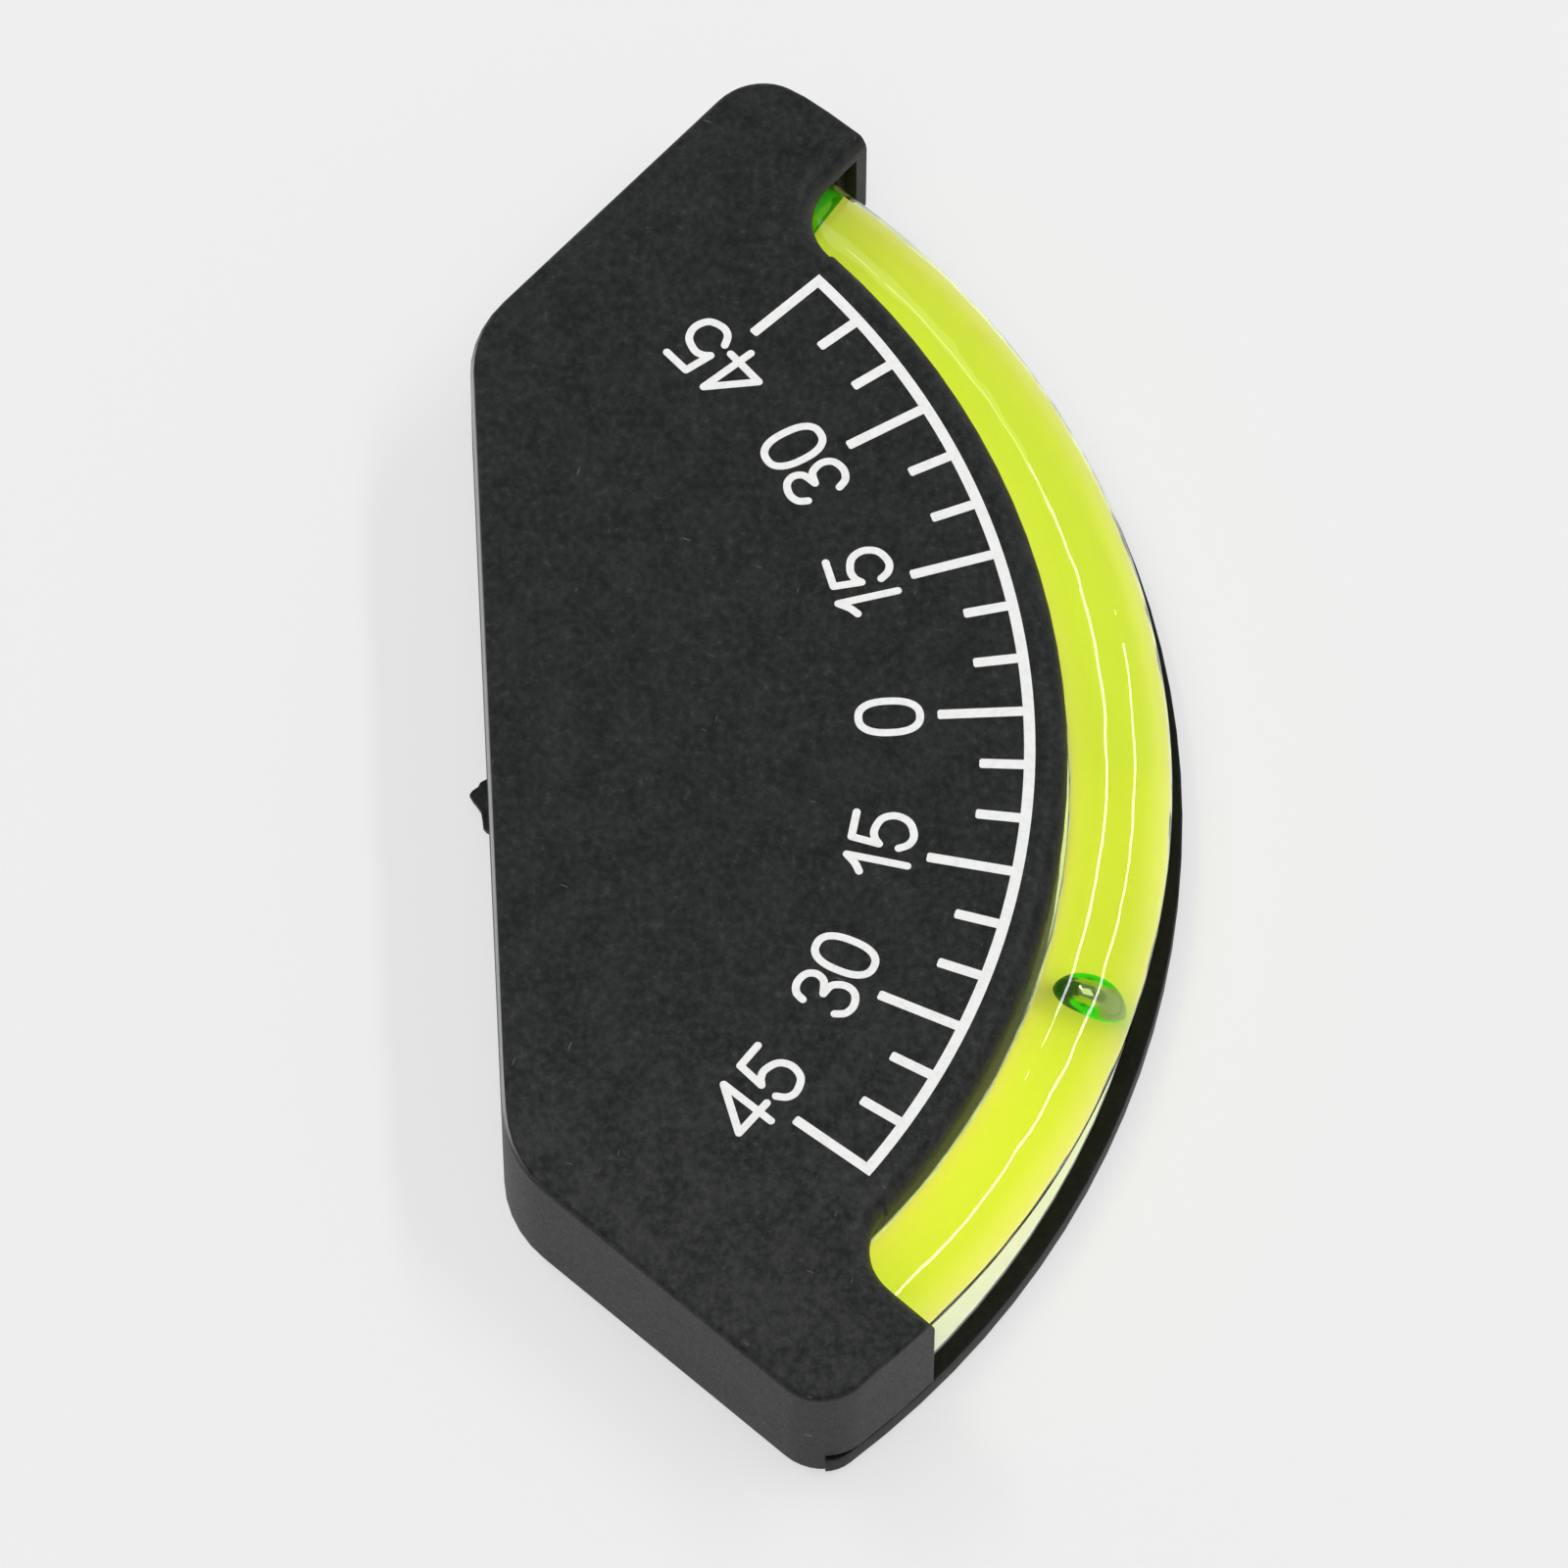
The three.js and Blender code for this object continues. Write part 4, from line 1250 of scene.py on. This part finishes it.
@dataclass
class CurvedVial:
    """The bent tube, its liquid, plugs and sealing discs, and the white strip under it."""

    arc_radius: float = 59.5
    axis_z: float = 5.85
    outer_radius: float = 3.75
    bore_radius: float = 2.25
    half_angle: float = 50.82
    fluid_angle: float = 48.32
    cement_angle: float = 49.5
    fluid_slack: float = 0.002
    end_round: float = 0.25
    end_flare: float = 0.26
    flare_angle: float = 2.6
    steps: int = 192
    rim_steps: int = 4
    sides: int = 64
    glass_angle: float = 50.0
    crisp_angle: float = 40.0

    def section(self, radius: float, degrees: float) -> list[Vector]:
        """Makes the ring of points of a cross-section.

        Args:
            radius: radius of the section, in mm.
            degrees: where along the arc it stands.

        Returns:
            The ring's points.
        """
        ring = []
        for k in range(self.sides):
            turn = 2 * math.pi * k / self.sides
            along = self.arc_radius + radius * math.cos(turn)
            ring.append(VIAL.at(along, degrees, self.axis_z + radius * math.sin(turn)))
        return ring

    def swell(self, degrees: float) -> float:
        """Widens the outside a little where the tube was heated to take its plug.

        Args:
            degrees: where along the arc the section stands.

        Returns:
            The outer radius there, in mm.
        """
        share = max(0.0, 1 - (self.half_angle - abs(degrees)) / self.flare_angle)
        return self.outer_radius + self.end_flare * share * share * (3 - 2 * share)

    def sweep(self, half: float) -> list[float]:
        """Lists the angles of the sections between two ends.

        Args:
            half: angle of each end.

        Returns:
            Angles from one end to the other.
        """
        return [-half + 2 * half * k / self.steps for k in range(self.steps + 1)]

    def tube(self) -> bpy.types.Object:
        """Builds the hollow tube with rounded rims.

        Returns:
            The tube's object.
        """
        plan = MeshPlan()
        turn = math.degrees(self.end_round / self.arc_radius)
        body = self.half_angle - turn
        rims = []
        for k in range(1, self.rim_steps + 1):
            lean = k / self.rim_steps * math.pi / 2
            radius = self.swell(body) - self.end_round * (1 - math.cos(lean))
            rims.append((radius, turn * math.sin(lean)))
        outside = [(r, -body - a, TubeSkin.WALL) for r, a in reversed(rims)]
        outside += [(self.swell(a), a, TubeSkin.WALL) for a in self.sweep(body)]
        outside += [(r, body + a, TubeSkin.WALL) for r, a in rims]
        inside = [
            (self.half_angle, TubeSkin.RIM),
            (self.cement_angle, TubeSkin.CEMENT),
            (self.fluid_angle, TubeSkin.PLUG),
        ]
        inside += [(a, TubeSkin.BORE) for a in reversed(self.sweep(self.fluid_angle))][1:]
        inside += [(-self.cement_angle, TubeSkin.PLUG), (-self.half_angle, TubeSkin.CEMENT)]
        sections = outside + [(self.bore_radius, a, skin) for a, skin in inside]
        rings = [(plan.ring(self.section(r, a)), skin) for r, a, skin in sections]
        for (first, _), (second, skin) in zip(rings, rings[1:]):
            plan.skin(first, second, skin)
        plan.skin(rings[-1][0], rings[0][0], TubeSkin.RIM)
        finishes = (VIAL_WALL, VIAL_BORE, CEMENT, SAWN_RIM, PLUG_RUBBER)
        tube = plan.object("clear_tube", finishes)
        shade_by_angle(tube, self.glass_angle, weld=False)
        return place(tube, Body.HOUSING, ("vial_tube",))

    def liquid(self) -> bpy.types.Object:
        """Builds the liquid that fills the bore between the plugs.

        Returns:
            The liquid's object.
        """
        plan = MeshPlan()
        radius = self.bore_radius - self.fluid_slack
        rings = [plan.ring(self.section(radius, a)) for a in self.sweep(self.fluid_angle)]
        plan.cap(list(reversed(rings[0])), LiquidSkin.END)
        for first, second in zip(rings, rings[1:]):
            plan.skin(first, second, LiquidSkin.SIDE)
        plan.cap(rings[-1], LiquidSkin.END)
        liquid = plan.object("tinted_liquid", (LIQUID, LIQUID_END))
        shade_by_angle(liquid, self.glass_angle, weld=False)
        return place(liquid, Body.HOUSING, ("damping_fluid",))

    def fittings(self) -> None:
        """Dresses the plugs, the sealing discs and the strip."""
        for side in ("left", "right"):
            dress(f"vial_plug_{side}", PLUG_RUBBER, self.crisp_angle)
            dress(f"plug_seal_{side}", SEALANT, self.crisp_angle)
        dress("reflector_strip", WHITE_STRIP, self.crisp_angle)

    def build(self) -> None:
        """Builds the vial and what it holds."""
        self.tube()
        self.liquid()
        self.fittings()


@dataclass
class SteelBall:
    """The indicator ball."""

    diameter: float = 3.175
    rings: int = 48
    sides: int = 96

    def circle(self, centre: Vector, lean: float) -> list[Vector]:
        """Makes the level circle of points at an angle down from the ball's top.

        Args:
            centre: the ball's centre, in metres.
            lean: the angle, in radians.

        Returns:
            The circle's points.
        """
        radius = self.diameter / 2 * MM
        points = []
        for k in range(self.sides):
            turn = 2 * math.pi * k / self.sides
            x = math.sin(lean) * math.cos(turn)
            y = math.sin(lean) * math.sin(turn)
            points.append(centre + radius * Vector((x, y, math.cos(lean))))
        return points

    def build(self) -> bpy.types.Object:
        """Builds the ball on its track in the bore.

        Returns:
            The ball's object.
        """
        low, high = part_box("indicator_ball")
        centre = (low + high) / 2
        pole = Vector((0, 0, self.diameter / 2 * MM))
        plan = MeshPlan()
        top = plan.ring([centre + pole])[0]
        leans = [math.pi * i / self.rings for i in range(1, self.rings)]
        rings = [plan.ring(self.circle(centre, lean)) for lean in leans]
        bottom = plan.ring([centre - pole])[0]
        for k in range(self.sides):
            after = (k + 1) % self.sides
            plan.cap((top, rings[0][k], rings[0][after]))
            plan.cap((bottom, rings[-1][after], rings[-1][k]))
        for first, second in zip(rings, rings[1:]):
            plan.skin(second, first)
        ball = plan.object("steel_ball", (STEEL,))
        return place(ball, Body.BALL, ("indicator_ball",))


@dataclass
class ScalePrint:
    """The white comb of ticks along the arc and the plain numbers over it."""

    rim_outer: float = 57.15
    rim_inner: float = 56.34
    minor_inner: float = 53.13
    major_inner: float = 50.17
    half_angle: float = 40.2
    ticks: int = 19
    tick_width: float = 0.75
    stroke: float = 0.57
    number_base: float = 46.6
    number_step: float = 13.4
    ink_height: float = 0.03
    ink_stagger: float = 0.002
    ink_levels: int = 3
    arc_step: float = 0.6
    gap_steps: int = 6
    major_every: int = 3
    corner_cut: float = 0.12
    cap_steps: int = 8
    ring_gap: float = 1e-6

    def tick_angles(self) -> list[float]:
        """Lists the angles of the ticks."""
        step = 2 * self.half_angle / (self.ticks - 1)
        return [-self.half_angle + step * k for k in range(self.ticks)]

    def half_turn(self, radius: float, cut: float = 0.0) -> float:
        """Gives the angle that half a tick spans at a radius, less a cut in mm."""
        return math.degrees((self.tick_width / 2 - cut) / radius)

    def tick_end(self, angle: float, inner: float) -> list[Point]:
        """Traces a tick from the rim to its free end, with its corners cut, and back.

        Args:
            angle: the tick's angle.
            inner: radius of its free end, in mm.

        Returns:
            Radius and angle of each corner.
        """
        half = self.half_turn(self.rim_inner)
        spread = self.half_turn(inner)
        close = self.half_turn(inner, self.corner_cut)
        return [
            (self.rim_inner, angle + half),
            (inner + self.corner_cut, angle + spread),
            (inner, angle + close),
            (inner, angle - close),
            (inner + self.corner_cut, angle - spread),
            (self.rim_inner, angle - half),
        ]

    def comb_outline(self) -> list[Point]:
        """Traces the comb as one closed outline.

        Returns:
            Radius and angle of each corner.
        """
        half = self.half_turn(self.rim_inner)
        angles = self.tick_angles()
        count = int(round(2 * self.half_angle / self.arc_step))
        first, last = angles[0] - half, angles[-1] + half
        outline = [(self.rim_outer, first + (last - first) * k / count) for k in range(count + 1)]
        for index in reversed(range(self.ticks)):
            major = index % self.major_every == 0
            outline += self.tick_end(angles[index], self.major_inner if major else self.minor_inner)
            if index:
                begin, end = angles[index] - half, angles[index - 1] + half
                for k in range(1, self.gap_steps):
                    outline.append((self.rim_inner, begin + (end - begin) * k / self.gap_steps))
        return outline

    def slab(self, plan: MeshPlan, outline: Sequence[Vector]) -> None:
        """Adds a thin flat piece of ink with side walls.

        Args:
            plan: the mesh that takes it.
            outline: its top outline, in metres.
        """
        lift = Vector((0, 0, self.ink_height * MM))
        top = plan.ring(outline)
        bottom = plan.ring([p - lift for p in outline])
        plan.skin(bottom, top)
        plan.cap(top)

    def comb(self) -> bpy.types.Object:
        """Builds the comb.

        Returns:
            Its object.
        """
        plan = MeshPlan()
        z = DIAL.face_z + self.ink_height
        outline = [DIAL.at(r, a, z) for r, a in self.comb_outline()]
        self.slab(plan, outline)
        comb = plan.object("scale_comb", (INK,), smooth=False)
        flatten(comb)
        return place(comb, Body.HOUSING)

    def ribbon(self, line: Sequence[Point]) -> list[Point]:
        """Widens a line of points to a stroke with round ends.

        Args:
            line: centre points of the stroke.

        Returns:
            The stroke's closed outline.
        """
        half = self.stroke / 2
        left: list[Point] = []
        right: list[Point] = []
        count = len(line)
        for k, (u, v) in enumerate(line):
            before = line[max(k - 1, 0)]
            after = line[min(k + 1, count - 1)]
            du, dv = after[0] - before[0], after[1] - before[1]
            size = math.hypot(du, dv)
            nu, nv = -dv / size, du / size
            left.append((u + nu * half, v + nv * half))
            right.append((u - nu * half, v - nv * half))
        ends = []
        for middle, start in ((line[-1], left[-1]), (line[0], right[0])):
            base = math.atan2(start[1] - middle[1], start[0] - middle[0])
            leans = [base - math.pi * k / self.cap_steps for k in range(1, self.cap_steps)]
            ends.append(
                [(middle[0] + half * math.cos(a), middle[1] + half * math.sin(a)) for a in leans]
            )
        return left + ends[0] + list(reversed(right)) + ends[1]

    def loops(self, line: Sequence[Point]) -> tuple[list[Point], list[Point]]:
        """Widens a closed line to the two loops of a ring.

        Args:
            line: centre points, the last equal to the first.

        Returns:
            The inner and the outer loop.
        """
        half = self.stroke / 2
        count = len(line) - 1
        inner: list[Point] = []
        outer: list[Point] = []
        for k in range(count):
            before, after = line[(k - 1) % count], line[(k + 1) % count]
            du, dv = after[0] - before[0], after[1] - before[1]
            size = math.hypot(du, dv)
            nu, nv = dv / size * half, -du / size * half
            outer.append((line[k][0] + nu, line[k][1] + nv))
            inner.append((line[k][0] - nu, line[k][1] - nv))
        return inner, outer

    def hoop(self, plan: MeshPlan, inner: Sequence[Vector], outer: Sequence[Vector]) -> None:
        """Adds a thin flat ring of ink with its side walls.

        Args:
            plan: the mesh that takes it.
            inner: its inner top loop, in metres.
            outer: its outer top loop, in metres.
        """
        lift = Vector((0, 0, self.ink_height * MM))
        tops = plan.ring(inner), plan.ring(outer)
        feet = plan.ring([p - lift for p in inner]), plan.ring([p - lift for p in outer])
        plan.skin(tops[1], tops[0])
        plan.skin(feet[1], tops[1])
        plan.skin(tops[0], feet[0])

    def numbers(self) -> bpy.types.Object:
        """Builds the seven numbers.

        Returns:
            Their object.
        """
        plan = MeshPlan()
        level = 0
        for mark in range(1 - len(NUMERALS), len(NUMERALS)):
            degrees = mark * self.number_step
            for line in NUMERALS[abs(mark)]:
                level += 1
                z = DIAL.face_z + self.ink_height + self.ink_stagger * (level % self.ink_levels)
                closed = math.dist(line[0], line[-1]) < self.ring_gap
                traced = self.loops(line) if closed else (self.ribbon(line),)
                placed = [
                    [DIAL.local(degrees, self.number_base, spot, z) for spot in loop]
                    for loop in traced
                ]
                if closed:
                    self.hoop(plan, *placed)
                else:
                    self.slab(plan, list(reversed(placed[0])))
        numbers = plan.object("scale_numbers", (INK,), smooth=False)
        flatten(numbers)
        return place(numbers, Body.HOUSING)

    def build(self) -> None:
        """Prints comb and numbers."""
        self.comb()
        self.numbers()


def bend(start: Point, through: Sequence[Point], steps: int = 8) -> tuple[Point, ...]:
    """Draws a smooth line through points, as a pen would.

    Args:
        start: the first point.
        through: the points that follow.
        steps: how finely each span is drawn.

    Returns:
        The points of the drawn line.
    """
    knots = [start, *through]
    line: list[Point] = []
    for k in range(len(knots) - 1):
        p0 = knots[max(k - 1, 0)]
        p1, p2 = knots[k], knots[k + 1]
        p3 = knots[min(k + 2, len(knots) - 1)]
        for i in range(steps):
            t = i / steps
            line.append(
                tuple(
                    0.5
                    * (
                        2 * b
                        + (c - a) * t
                        + (2 * a - 5 * b + 4 * c - d) * t * t
                        + (3 * b - a - 3 * c + d) * t * t * t
                    )
                    for a, b, c, d in zip(p0, p1, p2, p3)
                )
            )
    line.append(knots[-1])
    return tuple(line)


def oval(
    centre: Point, half: Point, steps: int = 48, power: float = 0.82
) -> tuple[Point, ...]:
    """Draws the oval of a nought, squarer than an ellipse.

    Args:
        centre: its middle.
        half: its half width and half height.
        steps: how finely it is drawn.
        power: 1 for an ellipse, and less for a squarer oval.

    Returns:
        The points of the drawn line; the last one meets the first.
    """
    line = []
    for k in range(steps + 1):
        turn = 2 * math.pi * k / steps + math.pi / 2
        c, s = math.cos(turn), math.sin(turn)
        line.append(
            (
                centre[0] + half[0] * math.copysign(abs(c) ** power, c),
                centre[1] + half[1] * math.copysign(abs(s) ** power, s),
            )
        )
    return tuple(line)


NUMERALS: tuple[tuple[tuple[Point, ...], ...], ...] = (
    (oval((-0.03, -0.08), (1.3, 2.23)),),
    (
        bend((-2.05, 1.0), ((-1.45, 1.42), (-0.85, 2.12))),
        ((-0.85, 2.12), (-0.92, -0.1), (-1.0, -2.33)),
        ((2.67, 2.05), (1.6, 2.05), (0.62, 2.05)),
        ((0.62, 2.05), (0.51, 1.02), (0.4, 0.0)),
        bend(
            (0.4, 0.0),
            ((0.86, 0.4), (1.55, 0.52), (2.5, 0.12), (2.88, -0.83), (2.52, -1.85), (1.52, -2.35),
             (0.75, -2.12), (0.3, -1.45)),
        ),
    ),
    (
        bend(
            (-2.6, 1.2),
            ((-2.25, 1.85), (-1.5, 2.12), (-0.65, 1.85), (-0.3, 1.17), (-0.6, 0.45), (-1.57, 0.04)),
        ),
        bend(
            (-1.57, 0.04),
            ((-0.7, -0.25), (-0.33, -1.17), (-0.65, -2.0), (-1.55, -2.33), (-2.35, -2.05),
             (-2.73, -1.35)),
        ),
        oval((1.9, -0.12), (1.3, 2.24)),
    ),
    (
        ((-0.87, 2.12), (-2.1, 0.48), (-3.3, -1.12)),
        ((-3.3, -1.12), (-1.8, -1.17), (-0.18, -1.22)),
        ((-0.87, 2.12), (-1.0, -0.1), (-1.14, -2.33)),
        ((3.1, 2.1), (2.1, 2.1), (1.04, 2.1)),
        ((1.04, 2.1), (0.88, 1.02), (0.72, -0.05)),
        bend(
            (0.72, -0.05),
            ((1.2, 0.36), (1.86, 0.5), (2.86, 0.1), (3.27, -0.85), (2.9, -1.9), (1.86, -2.33),
             (1.1, -2.1), (0.65, -1.4)),
        ),
    ),
)


@dataclass
class StickingPads:
    """The two foam pads on the back and their liners."""

    crisp_angle: float = 35.0

    def build(self) -> None:
        """Dresses pads and liners."""
        for side in ("left", "right"):
            dress(f"adhesive_pad_{side}", PAD_FOAM, self.crisp_angle)
            dress(f"pad_liner_{side}", LINER_PAPER, self.crisp_angle)


# Studio


@dataclass(frozen=True)
class SoftLamp:
    """A soft rectangular lamp that faces the object."""

    name: str
    toward: Place
    distance: float
    size: Span
    watts: float
    along: Place = (1.0, 0.0, 0.0)
    seen_through_glass: bool = True

    def hang(self) -> None:
        """Adds the lamp to the scene."""
        data = bpy.data.lights.new(self.name, "AREA")
        data.shape = "RECTANGLE"
        data.size, data.size_y = self.size
        data.energy = self.watts
        lamp = bpy.data.objects.new(self.name, data)
        out = Vector(self.toward).normalized()
        length = Vector(self.along)
        length = (length - out * length.dot(out)).normalized()
        turn = Matrix((length, out.cross(length), out)).transposed()
        lamp.matrix_world = Matrix.LocRotScale(out * self.distance, turn, None)
        lamp.visible_transmission = self.seen_through_glass
        bpy.context.scene.collection.objects.link(lamp)


LAMPS = (
    SoftLamp("overhead", toward=(-0.1, 0.2, 1.0), distance=1.6, size=(1.5, 1.2), watts=7.0),
    SoftLamp(
        "strip_near",
        toward=(0.28, -0.8, 1.2),
        distance=1.47,
        size=(1.15, 0.12),
        watts=5.8,
        seen_through_glass=False,
    ),
    SoftLamp("strip_far", toward=(0.78, 0.68, 1.2), distance=1.58, size=(0.62, 0.14), watts=3.6),
    SoftLamp(
        "strip_end",
        toward=(0.3, 0.62, 1.2),
        distance=1.38,
        size=(0.34, 0.08),
        watts=0.25,
        along=(0.7, 0.5, 0.0),
    ),
)


@dataclass
class Studio:
    """Camera, pale floor, soft lamps and even light from all round.

    The camera's lens and sensor are in millimetres and its turn in degrees.
    """

    eye: Place = (-0.56220352, 0.03282747, 1.02897373)
    turn: Place = (28.74567285, -0.18841776, -92.68793258)
    lens: float = 370.2725
    sensor: float = 36.0
    nearest: float = 0.05
    farthest: float = 20.0
    floor_half: float = 2.5
    floor_z: float = -0.0001
    air_colour: Colour = (1.0, 1.0, 1.0)
    air_level: Ramp = Ramp(0.0, 0.6, 0.85, 0.2)

    def camera(self) -> None:
        """Sets the camera at the photograph's viewing angle."""
        data = bpy.data.cameras.new("camera")
        data.lens = self.lens
        data.sensor_width = self.sensor
        data.sensor_height = self.sensor
        data.sensor_fit = "HORIZONTAL"
        data.clip_start = self.nearest
        data.clip_end = self.farthest
        camera = bpy.data.objects.new("camera", data)
        camera.location = self.eye
        camera.rotation_euler = Euler([math.radians(a) for a in self.turn], "XYZ")
        bpy.context.scene.collection.objects.link(camera)
        bpy.context.scene.camera = camera

    def floor(self) -> None:
        """Lays the pale floor."""
        plan = MeshPlan()
        half = self.floor_half
        sides = ((-1, -1), (1, -1), (1, 1), (-1, 1))
        corners = [Vector((x * half, y * half, self.floor_z)) for x, y in sides]
        plan.cap(plan.ring(corners))
        floor = plan.object("floor", (StudioFloor(),), smooth=False)

    def air(self) -> None:
        """Sets the even light from all round: pale walls under a dimmer ceiling."""
        world = bpy.data.worlds.new("studio_air")
        world.use_nodes = True
        backdrop = world.node_tree.nodes["Background"]
        backdrop.inputs["Color"].default_value = opaque(self.air_colour)
        graph = Graph(world.node_tree)
        height = graph.split(graph.add("ShaderNodeTexCoord").outputs["Generated"])["Z"]
        graph.join(graph.ranged(height, self.air_level), backdrop.inputs["Strength"])
        bpy.context.scene.world = world
        bpy.context.scene.view_settings.view_transform = "Standard"

    def build(self) -> None:
        """Sets up the whole studio."""
        self.camera()
        self.floor()
        for lamp in LAMPS:
            lamp.hang()
            LOG.info("%s: %g W", lamp.name, lamp.watts)
        self.air()


def main() -> None:
    """Builds the studio and the instrument, in order."""
    logging.basicConfig(level=logging.INFO, format="%(name)s %(message)s")
    Studio().build()
    MouldedShell().build()
    CurvedVial().build()
    SteelBall().build()
    ScalePrint().build()
    StickingPads().build()


if __name__ == "__main__":
    main()
